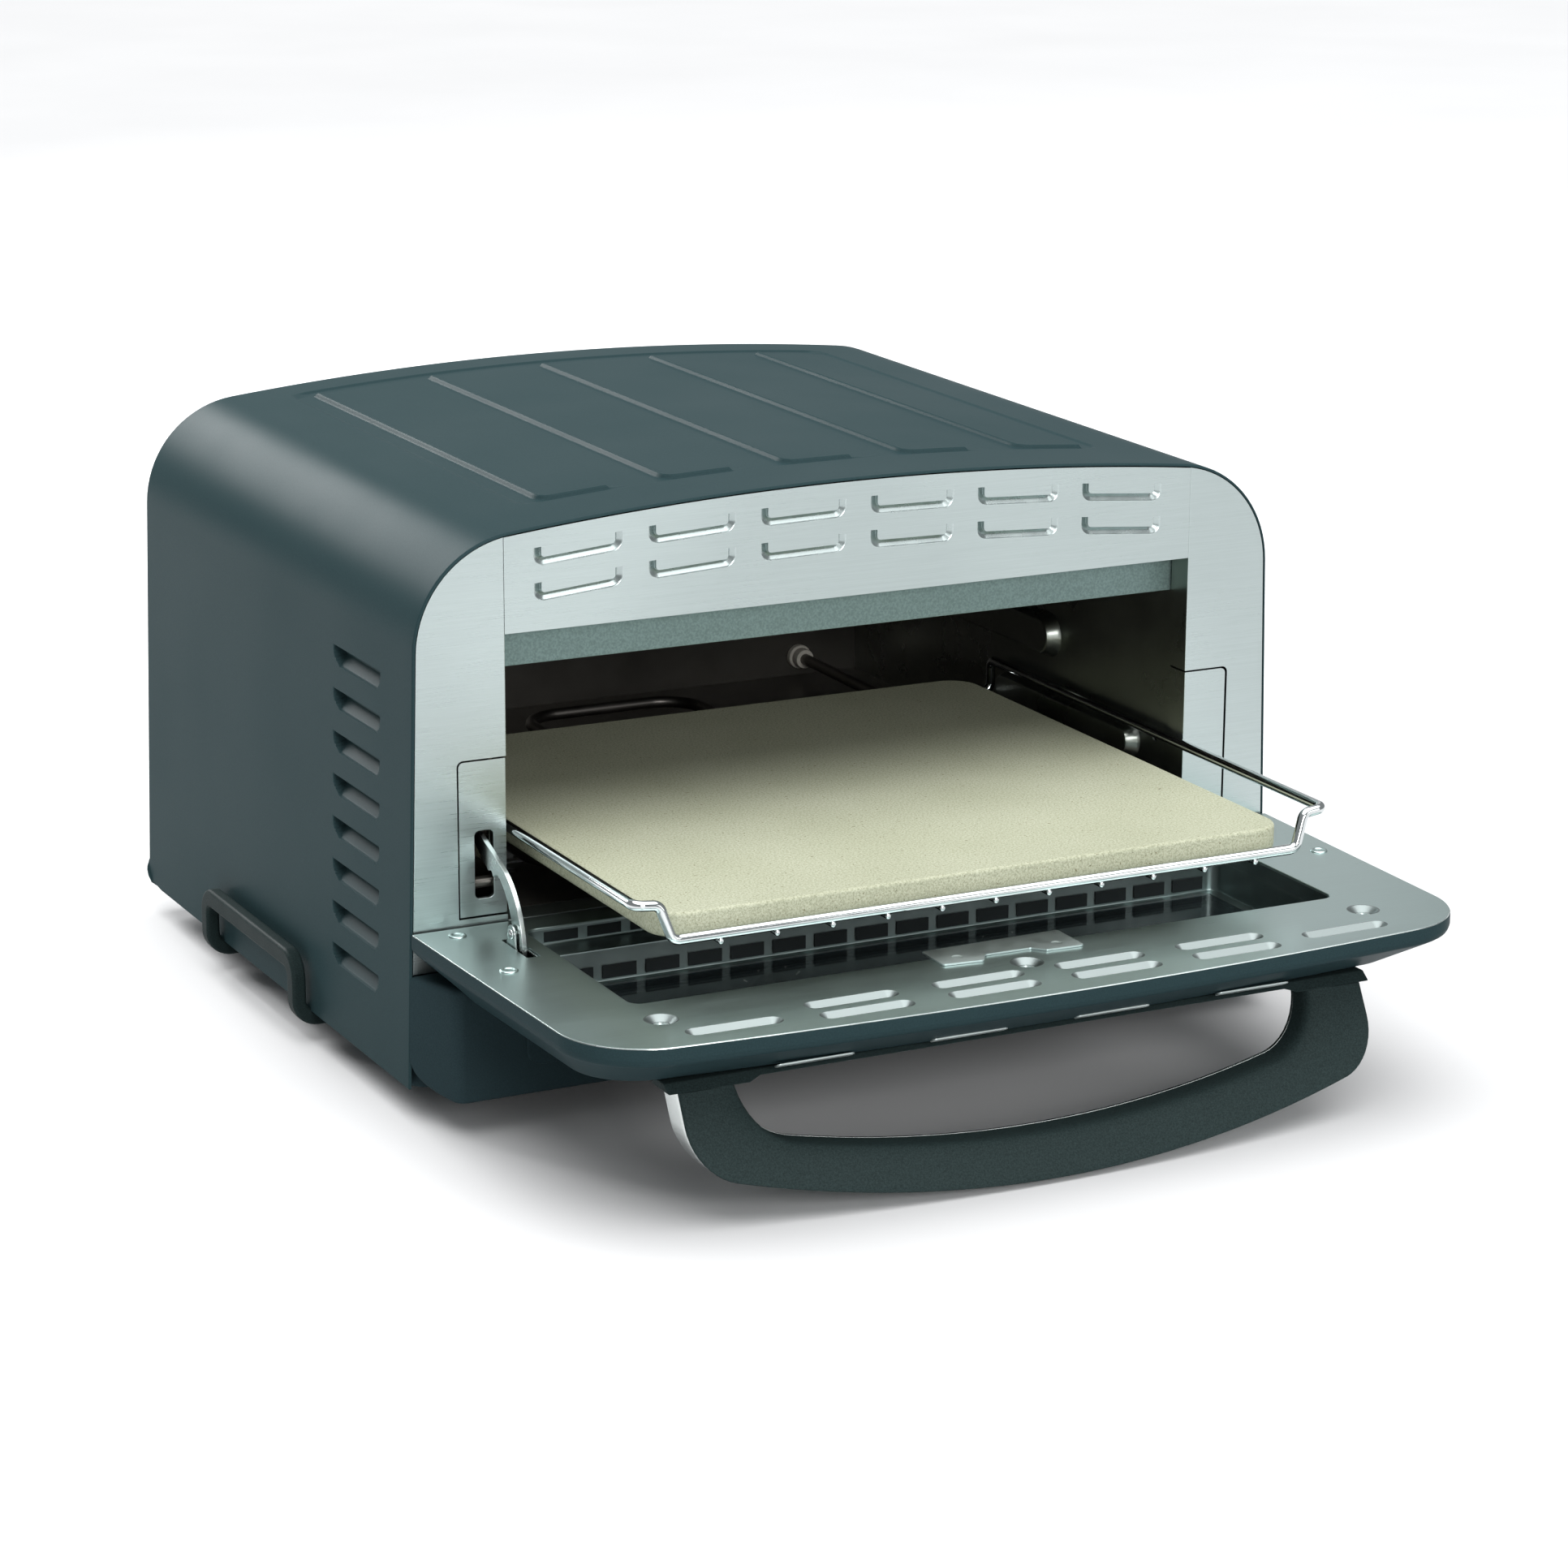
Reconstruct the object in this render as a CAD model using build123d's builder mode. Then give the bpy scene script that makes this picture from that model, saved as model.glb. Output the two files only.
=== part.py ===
from build123d import *
import os
from math import cos, radians, sin, sqrt

os.makedirs("parts", exist_ok=True)

# ---------------------------------------------------------------- driving dimensions (mm)
# Axes: +X to the right of someone facing the oven, +Y to the back, +Z up.
# Z = 0 is the worktop, Y = 0 is the front edge of the housing.
FACE_Z = 93.0            # height of the open door's inner face, which is the mouth's sill
HALF_W = 235.0           # half width of the body at FACE_Z
DRAFT = 0.0281           # each side leans in by this much per mm of height
BODY_D = 375.0           # depth of the outer wrap
PEAK_Z = 289.0           # top of the arched roof
ROOF_R = 1700.0          # radius of the arched roof
CORNER_R = 55.0          # rounding between side and roof
SKIN = 1.5               # outer sheet thickness
BASE_Z = 16.0            # underside of the base
WRAP_LOW_Z = 16.5        # lower edge of the side sheets

MOUTH_HALF = 185.5       # half width of the opening in the fascia
MOUTH_TOP_Z = 231.2      # lower edge of the louvred centre panel
RAIL_LOW_Z = 211.3       # lower edge of the recessed front rail
CAV_HALF = 187.0         # half width inside the cavity
CAV_FLOOR_Z = 93.0
CAV_ROOF_Z = 218.0
CAV_FRONT_Y = 17.0
CAV_BACK_Y = 360.0

HINGE_Y = -5.5           # door hinge axis
HINGE_Z = 89.4
DOOR_REAR_Y = -1.8
DOOR_TIP_Y = -208.0
DOOR_R = 2200.0          # radius of the door's free edge
DOOR_CORNER_R = 42.0
DOOR_T = 28.0            # inner face to outer face
LIP = 8.0                # straight edge of the shell below the inner panel
WIN_HALF = 186.0         # window opening in the inner panel
WIN_REAR_Y = -17.6
WIN_FRONT_Y = -139.8
GLASS_T = 3.0

RAIL_X = 181.5           # rack side rails
RAIL_Z = FACE_Z + 43.4
BAR_Y = -136.1           # rack front bar
BAR_Z = FACE_Z + 26.1
BAR_HALF = 164.2
RACK_REAR_Y = 191.0
WIRE_R = 2.5
ROD_R = 1.5
ROD_PITCH = 28.2
ROD_Z = FACE_Z + 22.9

STONE_X0 = -168.0
STONE_X1 = 162.5
STONE_Y0 = -131.2
STONE_Y1 = 187.0
STONE_Z0 = FACE_Z + 24.45
STONE_T = 12.0

KNOB_X = 62.0
KNOB_Z = 46.0
COVER_Y = -30.0          # face of the base's front cover
COVER_TOP_Z = 72.0

TO_ORIGIN = Location((0, -85.5, 0))   # puts the middle of the whole footprint over the origin


# ---------------------------------------------------------------- helpers
def half_w(z):
    """Half width of the drafted body at height z."""
    return HALF_W - DRAFT * (z - FACE_Z)


def block(x0, x1, y0, y1, z0, z1, mode=Mode.ADD):
    """Axis-aligned block between two corners, in the active part."""
    with Locations(((x0 + x1) / 2, (y0 + y1) / 2, (z0 + z1) / 2)):
        Box(x1 - x0, y1 - y0, z1 - z0, mode=mode)


def rod_x(x0, x1, y, z, r, mode=Mode.ADD):
    """Cylinder along X."""
    with Locations(Location(((x0 + x1) / 2, y, z), (0, 90, 0))):
        Cylinder(r, x1 - x0, mode=mode)


def rod_y(x, y0, y1, z, r, mode=Mode.ADD):
    """Cylinder along Y."""
    with Locations(Location((x, (y0 + y1) / 2, z), (90, 0, 0))):
        Cylinder(r, y1 - y0, mode=mode)


def rod_z(x, y, z0, z1, r, mode=Mode.ADD):
    """Cylinder along Z."""
    with Locations((x, y, (z0 + z1) / 2)):
        Cylinder(r, z1 - z0, mode=mode)


def arch_z(x, inset=0.0):
    """Height of the roof arch over x."""
    return PEAK_Z - ROOF_R + sqrt((ROOF_R - inset) ** 2 - x ** 2)


def body_outline(inset, z_low):
    """Front view of the body: drafted sides, arched roof, rounded top corners."""
    z_top = arch_z(228.0, inset)
    for _ in range(4):
        x_top = half_w(z_top) - inset
        z_top = arch_z(x_top, inset)
    x_low = half_w(z_low) - inset
    with BuildSketch() as outline:
        with BuildLine():
            Line((-x_low, z_low), (x_low, z_low))
            Line((x_low, z_low), (x_top, z_top))
            ThreePointArc((x_top, z_top), (0, PEAK_Z - inset), (-x_top, z_top))
            Line((-x_top, z_top), (-x_low, z_low))
        make_face()
        fillet(outline.vertices().sort_by(Axis.Y)[-2:], CORNER_R - inset)
    return outline.sketch


def door_outline(inset, y_rear, y_tip, corner_r):
    """Plan view of the open door: the body's outline laid forward."""
    centre_y = y_tip + DOOR_R
    x_rear = HALF_W - inset + DRAFT * 10
    y_side = y_tip + 10
    for _ in range(4):
        x_side = HALF_W - inset + DRAFT * (10 + y_side)
        y_side = centre_y - sqrt(DOOR_R ** 2 - x_side ** 2)
    with BuildSketch() as outline:
        with BuildLine():
            Line((x_rear, y_rear), (-x_rear, y_rear))
            Line((-x_rear, y_rear), (-x_side, y_side))
            ThreePointArc((-x_side, y_side), (0, y_tip), (x_side, y_side))
            Line((x_side, y_side), (x_rear, y_rear))
        make_face()
        fillet(outline.vertices().sort_by(Axis.Y)[:2], corner_r)
    return outline.sketch


def mirror_x(source):
    """The same piece on the other side of the oven."""
    return source.part.mirror(Plane.YZ)


# ---------------------------------------------------------------- outer housing
LOUVRE_Y0 = 40.0
LOUVRE_Y1 = 99.0
LOUVRE_TOP_Z = 209.6
LOUVRE_PITCH = 21.24

with BuildPart() as housing_wrap:
    with BuildSketch(Plane.XZ.offset(-BODY_D)):
        add(body_outline(0, WRAP_LOW_Z))
    extrude(amount=BODY_D)
    with BuildSketch(Plane.XZ.offset(-BODY_D - 1)):
        add(body_outline(SKIN, WRAP_LOW_Z - 5))
    extrude(amount=BODY_D + 2, mode=Mode.SUBTRACT)
    # side vents: a slot under each pressed-in flap
    for i in range(8):
        top = LOUVRE_TOP_Z - i * LOUVRE_PITCH
        block(-245, 245, LOUVRE_Y0 + 3, LOUVRE_Y1 - 3, top - 8.5, top - 1.0, mode=Mode.SUBTRACT)
    # rounded lower rear corners
    with BuildSketch(Plane.YZ.offset(-245)):
        with BuildLine():
            Line((BODY_D - 12, WRAP_LOW_Z - 1), (BODY_D + 1, WRAP_LOW_Z - 1))
            Line((BODY_D + 1, WRAP_LOW_Z - 1), (BODY_D + 1, WRAP_LOW_Z + 12))
            Line((BODY_D + 1, WRAP_LOW_Z + 12), (BODY_D, WRAP_LOW_Z + 12))
            RadiusArc((BODY_D, WRAP_LOW_Z + 12), (BODY_D - 12, WRAP_LOW_Z), 12)
            Line((BODY_D - 12, WRAP_LOW_Z), (BODY_D - 12, WRAP_LOW_Z - 1))
        make_face()
    extrude(amount=490, mode=Mode.SUBTRACT)
housing_wrap.part.move(TO_ORIGIN)
housing_wrap.part.label = "housing_wrap"
export_step(housing_wrap.part, "parts/housing_wrap.step")

with BuildPart() as roof_ribs:
    # five raised beads, each with a hook to the right at its front end
    for i in range(5):
        x = -145.5 + i * 65.0
        block(x - 1.5, x + 1.5, 46.0, 338.0, 270.0, 295.0)
        block(x - 1.5, x + 33.0, 46.0, 49.0, 270.0, 295.0)
    with BuildSketch(Plane.XZ.offset(-BODY_D)):
        add(body_outline(-1.2, WRAP_LOW_Z))
    extrude(amount=BODY_D, mode=Mode.INTERSECT)
    with BuildSketch(Plane.XZ.offset(-BODY_D)):
        add(body_outline(0, WRAP_LOW_Z))
    extrude(amount=BODY_D, mode=Mode.SUBTRACT)
roof_ribs.part.move(TO_ORIGIN)
roof_ribs.part.label = "roof_ribs"
export_step(roof_ribs.part, "parts/roof_ribs.step")

REAR_FACE_Y = BODY_D - 1.0       # the rear panel sits just inside the wrap
REAR_SCREWS = ((-205, 45), (205, 45), (-205, 150), (205, 150), (-180, 255), (180, 255), (0, 272), (0, 40))
GLAND_X = 170.0
GLAND_Z = 60.0

with BuildPart() as rear_panel:
    with BuildSketch(Plane.XZ.offset(-REAR_FACE_Y)):
        add(body_outline(SKIN + 0.2, BASE_Z + 14.0))
    extrude(amount=SKIN)
    # vent slots and the cord inlet hole
    for row in range(6):
        for col in range(4):
            x = -120.0 + col * 80.0
            z = 175.0 + row * 12.0
            block(x - 28, x + 28, BODY_D - 5, BODY_D + 5, z - 2, z + 2, mode=Mode.SUBTRACT)
    rod_y(GLAND_X, BODY_D - 6, BODY_D + 4, GLAND_Z, 8.0, mode=Mode.SUBTRACT)
    for x, z in REAR_SCREWS:
        rod_y(x, BODY_D - 6, BODY_D + 4, z, 1.9, mode=Mode.SUBTRACT)
rear_panel.part.move(TO_ORIGIN)
rear_panel.part.label = "rear_panel"
export_step(rear_panel.part, "parts/rear_panel.step")

with BuildPart() as base_pan:
    # folded tray with a turned-up edge inside the wrap
    with BuildSketch(Plane.XY.offset(BASE_Z)):
        with Locations((0, 186.8)):
            RectangleRounded(468.0, 372.8, 10.0)
    extrude(amount=14.0)
    with BuildSketch(Plane.XY.offset(BASE_Z + SKIN)):
        with Locations((0, 186.8)):
            RectangleRounded(465.0, 369.8, 8.5)
    extrude(amount=20.0, mode=Mode.SUBTRACT)
    for row in range(5):
        for col in range(6):
            x = -100.0 + col * 40.0
            y = 130.0 + row * 24.0
            with BuildSketch(Plane.XY.offset(BASE_Z - 1)):
                with Locations((x, y)):
                    SlotOverall(28.0, 4.0)
            extrude(amount=4.0, mode=Mode.SUBTRACT)
base_pan.part.move(TO_ORIGIN)
base_pan.part.label = "base_pan"
export_step(base_pan.part, "parts/base_pan.step")

with BuildPart() as feet:
    for x in (-185.0, 185.0):
        for y in (55.0, 320.0):
            with Locations((x, y, (BASE_Z - 0.1) / 2)):
                Cone(13.0, 15.0, BASE_Z - 0.1)
feet.part.move(TO_ORIGIN)
feet.part.label = "feet"
export_step(feet.part, "parts/feet.step")

with BuildPart() as base_cover:
    # bay-fronted cover under the door: flat face with a canted facet at each side
    with BuildSketch(Plane.XY.offset(BASE_Z)):
        Polygon((-236.9, 0), (-225.3, COVER_Y), (225.3, COVER_Y), (236.9, 0), align=None)
    extrude(amount=COVER_TOP_Z - BASE_Z, taper=1.2)
    fillet(base_cover.faces().sort_by(Axis.Z)[-1].edges().filter_by(Axis.Y, reverse=True), 2.0)
    block(-250, 250, -40, -0.0, 0, 10, mode=Mode.SUBTRACT)
    with BuildSketch(Plane.XY.offset(BASE_Z + 2.0)):
        Polygon((-234.3, 1), (-223.3, COVER_Y + 2.4), (223.3, COVER_Y + 2.4), (234.3, 1), align=None)
    extrude(amount=COVER_TOP_Z - BASE_Z - 4.2, taper=1.2, mode=Mode.SUBTRACT)
    block(-190.5, 190.5, COVER_Y - 5, COVER_Y + 6, 29.7, 62.3, mode=Mode.SUBTRACT)
    # openings for the hinge lugs
    for x in (-208.0, 208.0):
        block(x - 3.2, x + 3.2, -8.0, -3.0, COVER_TOP_Z - 8, COVER_TOP_Z + 2, mode=Mode.SUBTRACT)
base_cover.part.move(TO_ORIGIN)
base_cover.part.label = "base_cover"
export_step(base_cover.part, "parts/base_cover.step")

with BuildPart() as control_bezel:
    with BuildSketch(Plane.XZ.offset(-COVER_Y - 0.9)):
        with Locations((0, 46.0)):
            RectangleRounded(379.6, 31.2, 8.0)
    extrude(amount=1.2)
    block(-193.0, 193.0, COVER_Y + 4.2, COVER_Y + 5.4, 26.0, 66.0)
    block(-185.0, 185.0, COVER_Y + 0.5, COVER_Y + 4.3, 32.0, 60.0)
    for x in (-KNOB_X, KNOB_X):
        rod_y(x, COVER_Y - 5, COVER_Y + 8, KNOB_Z, 3.6, mode=Mode.SUBTRACT)
    for x in (-12.0, 12.0):
        rod_y(x, COVER_Y - 5, COVER_Y + 8, KNOB_Z, 2.6, mode=Mode.SUBTRACT)
control_bezel.part.move(TO_ORIGIN)
control_bezel.part.label = "control_bezel"
export_step(control_bezel.part, "parts/control_bezel.step")

# ---------------------------------------------------------------- fascia
FASCIA_Y0 = 0.3
FASCIA_Y1 = 1.5
FASCIA_LOW_Z = 72.5
INSERT_X0 = 210.3        # outer edge of the recessed insert in each pilaster
INSERT_Z0 = 96.0
INSERT_Z1 = 173.0
SLOT_X0 = -201.9         # slot for the hinge arm
SLOT_X1 = -191.9
SLOT_Z0 = 105.0
SLOT_Z1 = 138.5


def pilaster(side):
    """One side of the fascia: face, folded return at the mouth, cut for its insert."""
    inner = side * MOUTH_HALF
    with BuildPart() as plate:
        with BuildSketch(Plane.XZ.offset(-FASCIA_Y1)):
            add(body_outline(SKIN + 0.2, FASCIA_LOW_Z))
            with Locations((inner - side * 300.0, 200.0)):
                Rectangle(600.0, 400.0, mode=Mode.SUBTRACT)
        extrude(amount=FASCIA_Y1 - FASCIA_Y0)
        block(min(inner, inner + side * 1.2), max(inner, inner + side * 1.2),
              FASCIA_Y0, CAV_FRONT_Y - 0.5, FASCIA_LOW_Z, 262.0)
        block(min(side * 184.0, side * INSERT_X0), max(side * 184.0, side * INSERT_X0),
              -2, FASCIA_Y1 + 0.5, INSERT_Z0, INSERT_Z1, mode=Mode.SUBTRACT)
    return plate.part


with BuildPart() as fascia_left:
    add(pilaster(-1))
fascia_left.part.move(TO_ORIGIN)
fascia_left.part.label = "fascia_left"
export_step(fascia_left.part, "parts/fascia_left.step")

with BuildPart() as fascia_right:
    add(pilaster(1))
fascia_right.part.move(TO_ORIGIN)
fascia_right.part.label = "fascia_right"
export_step(fascia_right.part, "parts/fascia_right.step")

with BuildPart() as insert_left:
    block(-INSERT_X0 - 4.0, -MOUTH_HALF - 1.4, FASCIA_Y1 + 0.6, FASCIA_Y1 + 1.8,
          INSERT_Z0 - 4.0, INSERT_Z1 + 4.0)
    block(-INSERT_X0 + 0.4, -MOUTH_HALF - 1.4, FASCIA_Y0 + 0.6, FASCIA_Y1 + 0.7,
          INSERT_Z0 + 0.4, INSERT_Z1 - 0.4)
    block(SLOT_X0, SLOT_X1, -2, 8, SLOT_Z0, SLOT_Z1, mode=Mode.SUBTRACT)
    fillet(insert_left.edges().filter_by(Axis.Y).filter_by_position(Axis.X, SLOT_X0 - 0.1, SLOT_X1 + 0.1)
           .filter_by_position(Axis.Z, SLOT_Z0 - 0.1, SLOT_Z1 + 0.1), 2.0)
insert_left.part.move(TO_ORIGIN)
insert_left.part.label = "insert_left"
export_step(insert_left.part, "parts/insert_left.step")

with BuildPart() as insert_right:
    block(MOUTH_HALF + 1.4, INSERT_X0 + 4.0, FASCIA_Y1 + 0.6, FASCIA_Y1 + 1.8,
          INSERT_Z0 - 4.0, INSERT_Z1 + 4.0)
    block(MOUTH_HALF + 1.4, INSERT_X0 - 0.4, FASCIA_Y0 + 0.6, FASCIA_Y1 + 0.7,
          INSERT_Z0 + 0.4, INSERT_Z1 - 0.4)
insert_right.part.move(TO_ORIGIN)
insert_right.part.label = "insert_right"
export_step(insert_right.part, "parts/insert_right.step")

LOUVRE_W = 45.0
LOUVRE_X0 = -147.6       # centre of the first louvre
LOUVRE_STEP = 58.6

with BuildPart() as fascia_top:
    with BuildSketch(Plane.XZ.offset(-FASCIA_Y1)):
        add(body_outline(SKIN + 0.2, MOUTH_TOP_Z - 40.0))
        with Locations((MOUTH_HALF + 100 - 0.3, 250.0), (-MOUTH_HALF - 100 + 0.3, 250.0)):
            Rectangle(200.0, 200.0, mode=Mode.SUBTRACT)
        with Locations((0, MOUTH_TOP_Z - 40.0)):
            Rectangle(600.0, 80.0, mode=Mode.SUBTRACT)
    extrude(amount=FASCIA_Y1 - FASCIA_Y0)
    # a flange folded back along the lower edge
    block(-MOUTH_HALF + 0.3, MOUTH_HALF - 0.3, FASCIA_Y0, 14.0, MOUTH_TOP_Z, MOUTH_TOP_Z + 1.2)
    # two rows of louvres that follow the arch
    for row in range(2):
        for col in range(6):
            x = LOUVRE_X0 + col * LOUVRE_STEP
            top = arch_z(x) - 10.0 - row * 16.8
            block(x - LOUVRE_W / 2, x + LOUVRE_W / 2, -2, 4, top - 8.5, top - 0.8, mode=Mode.SUBTRACT)
fascia_top.part.move(TO_ORIGIN)
fascia_top.part.label = "fascia_top"
export_step(fascia_top.part, "parts/fascia_top.step")

with BuildPart() as fascia_sill:
    block(-MOUTH_HALF + 0.3, MOUTH_HALF - 0.3, FASCIA_Y0, FASCIA_Y1, FASCIA_LOW_Z, CAV_FLOOR_Z)
    block(-MOUTH_HALF + 0.3, MOUTH_HALF - 0.3, FASCIA_Y1, CAV_FRONT_Y - 0.4, CAV_FLOOR_Z - 1.2, CAV_FLOOR_Z)
fascia_sill.part.move(TO_ORIGIN)
fascia_sill.part.label = "fascia_sill"
export_step(fascia_sill.part, "parts/fascia_sill.step")

with BuildPart() as front_rail:
    # painted rail set back under the centre panel
    block(-CAV_HALF + 0.4, CAV_HALF - 0.4, CAV_FRONT_Y, CAV_FRONT_Y + 1.2, RAIL_LOW_Z, 240.0)
    block(-CAV_HALF + 0.4, CAV_HALF - 0.4, CAV_FRONT_Y + 1.2, CAV_FRONT_Y + 8.0, RAIL_LOW_Z, RAIL_LOW_Z + 1.2)
front_rail.part.move(TO_ORIGIN)
front_rail.part.label = "front_rail"
export_step(front_rail.part, "parts/front_rail.step")

# ---------------------------------------------------------------- cavity
SHEET = 1.0
GUIDE_X = 179.5          # how far in the pressed guides reach

with BuildPart() as cavity_floor:
    block(-CAV_HALF - SHEET, CAV_HALF + SHEET, CAV_FRONT_Y, CAV_BACK_Y, CAV_FLOOR_Z - SHEET, CAV_FLOOR_Z)
cavity_floor.part.move(TO_ORIGIN)
cavity_floor.part.label = "cavity_floor"
export_step(cavity_floor.part, "parts/cavity_floor.step")

with BuildPart() as cavity_roof:
    block(-CAV_HALF - SHEET, CAV_HALF + SHEET, CAV_FRONT_Y + 1.3, CAV_BACK_Y, CAV_ROOF_Z, CAV_ROOF_Z + SHEET)
cavity_roof.part.move(TO_ORIGIN)
cavity_roof.part.label = "cavity_roof"
export_step(cavity_roof.part, "parts/cavity_roof.step")

with BuildPart() as cavity_wall_right:
    block(CAV_HALF, CAV_HALF + SHEET, CAV_FRONT_Y, CAV_BACK_Y, CAV_FLOOR_Z, CAV_ROOF_Z)
    rod_x(CAV_HALF - 2, CAV_HALF + 3, 30.0, FACE_Z + 38.0, 2.0, mode=Mode.SUBTRACT)
    rod_x(CAV_HALF - 2, CAV_HALF + 3, 150.0, FACE_Z + 92.0, 2.0, mode=Mode.SUBTRACT)
cavity_wall_right.part.move(TO_ORIGIN)
cavity_wall_right.part.label = "cavity_wall_right"
export_step(cavity_wall_right.part, "parts/cavity_wall_right.step")

with BuildPart() as cavity_wall_left:
    add(mirror_x(cavity_wall_right))
cavity_wall_left.part.label = "cavity_wall_left"
export_step(cavity_wall_left.part, "parts/cavity_wall_left.step")

with BuildPart() as cavity_back:
    block(-CAV_HALF - SHEET, CAV_HALF + SHEET, CAV_BACK_Y, CAV_BACK_Y + SHEET,
          CAV_FLOOR_Z - SHEET, CAV_ROOF_Z + SHEET)
    for x in (-150.0, 150.0):
        rod_y(x, CAV_BACK_Y - 2, CAV_BACK_Y + 3, FACE_Z + 11.0, 3.8, mode=Mode.SUBTRACT)
        rod_y(x, CAV_BACK_Y - 2, CAV_BACK_Y + 3, FACE_Z + 110.0, 3.8, mode=Mode.SUBTRACT)
cavity_back.part.move(TO_ORIGIN)
cavity_back.part.label = "cavity_back"
export_step(cavity_back.part, "parts/cavity_back.step")

with BuildPart() as guide_lower_right:
    with BuildSketch(Plane.YZ.offset(GUIDE_X)):
        with Locations((115.5, FACE_Z + 35.2)):
            RectangleRounded(141.0, 9.6, 4.0)
    extrude(amount=CAV_HALF - GUIDE_X - 0.05)
guide_lower_right.part.move(TO_ORIGIN)
guide_lower_right.part.label = "guide_lower_right"
export_step(guide_lower_right.part, "parts/guide_lower_right.step")

with BuildPart() as guide_lower_left:
    add(mirror_x(guide_lower_right))
guide_lower_left.part.label = "guide_lower_left"
export_step(guide_lower_left.part, "parts/guide_lower_left.step")

with BuildPart() as guide_upper_right:
    with BuildSketch(Plane.YZ.offset(GUIDE_X)):
        with Locations((230.0, FACE_Z + 68.0)):
            RectangleRounded(228.0, 18.0, 8.0)
    extrude(amount=CAV_HALF - GUIDE_X - 0.05)
guide_upper_right.part.move(TO_ORIGIN)
guide_upper_right.part.label = "guide_upper_right"
export_step(guide_upper_right.part, "parts/guide_upper_right.step")

with BuildPart() as guide_upper_left:
    add(mirror_x(guide_upper_right))
guide_upper_left.part.label = "guide_upper_left"
export_step(guide_upper_left.part, "parts/guide_upper_left.step")

ELEMENT_R = 3.2

with BuildPart() as element_lower:
    with BuildLine():
        FilletPolyline(
            (-150, 368, FACE_Z + 11), (-150, 40, FACE_Z + 11), (-50, 40, FACE_Z + 11),
            (-50, 300, FACE_Z + 11), (50, 300, FACE_Z + 11), (50, 40, FACE_Z + 11),
            (150, 40, FACE_Z + 11), (150, 368, FACE_Z + 11), radius=22)
    with BuildSketch(Plane(origin=(-150, 368, FACE_Z + 11), z_dir=(0, -1, 0))):
        Circle(ELEMENT_R)
    sweep()
element_lower.part.move(TO_ORIGIN)
element_lower.part.label = "element_lower"
export_step(element_lower.part, "parts/element_lower.step")

with BuildPart() as element_upper:
    with BuildLine():
        FilletPolyline(
            (-150, 368, FACE_Z + 110), (-150, 60, FACE_Z + 110), (-50, 60, FACE_Z + 110),
            (-50, 300, FACE_Z + 110), (50, 300, FACE_Z + 110), (50, 60, FACE_Z + 110),
            (150, 60, FACE_Z + 110), (150, 368, FACE_Z + 110), radius=22)
    with BuildSketch(Plane(origin=(-150, 368, FACE_Z + 110), z_dir=(0, -1, 0))):
        Circle(ELEMENT_R)
    sweep()
element_upper.part.move(TO_ORIGIN)
element_upper.part.label = "element_upper"
export_step(element_upper.part, "parts/element_upper.step")

with BuildPart() as element_brackets:
    # slotted straps that carry the two heating rods
    for y in (90.0, 250.0):
        block(-165, 165, y - 6, y + 6, CAV_ROOF_Z - 1.3, CAV_ROOF_Z - 0.1)
        for x in (-150.0, -50.0, 50.0, 150.0):
            block(x - 5.6, x + 5.6, y - 1, y + 1, FACE_Z + 104, CAV_ROOF_Z - 0.6)
            rod_y(x, y - 3, y + 3, FACE_Z + 110, ELEMENT_R + 0.2, mode=Mode.SUBTRACT)
            block(x - 5.6, x + 5.6, y - 1, y + 1, CAV_FLOOR_Z + 0.1, FACE_Z + 16.5)
            rod_y(x, y - 3, y + 3, FACE_Z + 11, ELEMENT_R + 0.2, mode=Mode.SUBTRACT)
        block(-165, 165, y - 6, y + 6, CAV_FLOOR_Z + 0.1, CAV_FLOOR_Z + 1.3)
element_brackets.part.move(TO_ORIGIN)
element_brackets.part.label = "element_brackets"
export_step(element_brackets.part, "parts/element_brackets.step")

with BuildPart() as insulation:
    block(-180, 180, 40, 352, CAV_ROOF_Z + 2, CAV_ROOF_Z + 18)
    for side in (-1, 1):
        block(min(side * 189, side * 203), max(side * 189, side * 203), 60, 352, 100, 214)
insulation.part.move(TO_ORIGIN)
insulation.part.label = "insulation"
export_step(insulation.part, "parts/insulation.step")

# ---------------------------------------------------------------- controls in the base
SHAFT_R = 3.0

with BuildPart() as thermostat:
    block(-KNOB_X - 18, -KNOB_X + 18, COVER_Y + 5.5, 4.0, KNOB_Z - 13, KNOB_Z + 13)
    rod_y(-KNOB_X, COVER_Y, COVER_Y + 18, KNOB_Z, SHAFT_R + 0.05, mode=Mode.SUBTRACT)
thermostat.part.move(TO_ORIGIN)
thermostat.part.label = "thermostat"
export_step(thermostat.part, "parts/thermostat.step")

with BuildPart() as timer:
    block(KNOB_X - 20, KNOB_X + 20, COVER_Y + 5.5, 12.0, KNOB_Z - 13, KNOB_Z + 13)
    rod_y(KNOB_X, COVER_Y, COVER_Y + 18, KNOB_Z, SHAFT_R + 0.05, mode=Mode.SUBTRACT)
timer.part.move(TO_ORIGIN)
timer.part.label = "timer"
export_step(timer.part, "parts/timer.step")

with BuildPart() as indicator_lenses:
    for x in (-12.0, 12.0):
        rod_y(x, COVER_Y - 1.2, COVER_Y + 5.5, KNOB_Z, 2.5)
        rod_y(x, COVER_Y - 1.8, COVER_Y - 0.4, KNOB_Z, 3.4)
indicator_lenses.part.move(TO_ORIGIN)
indicator_lenses.part.label = "indicator_lenses"
export_step(indicator_lenses.part, "parts/indicator_lenses.step")


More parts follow.
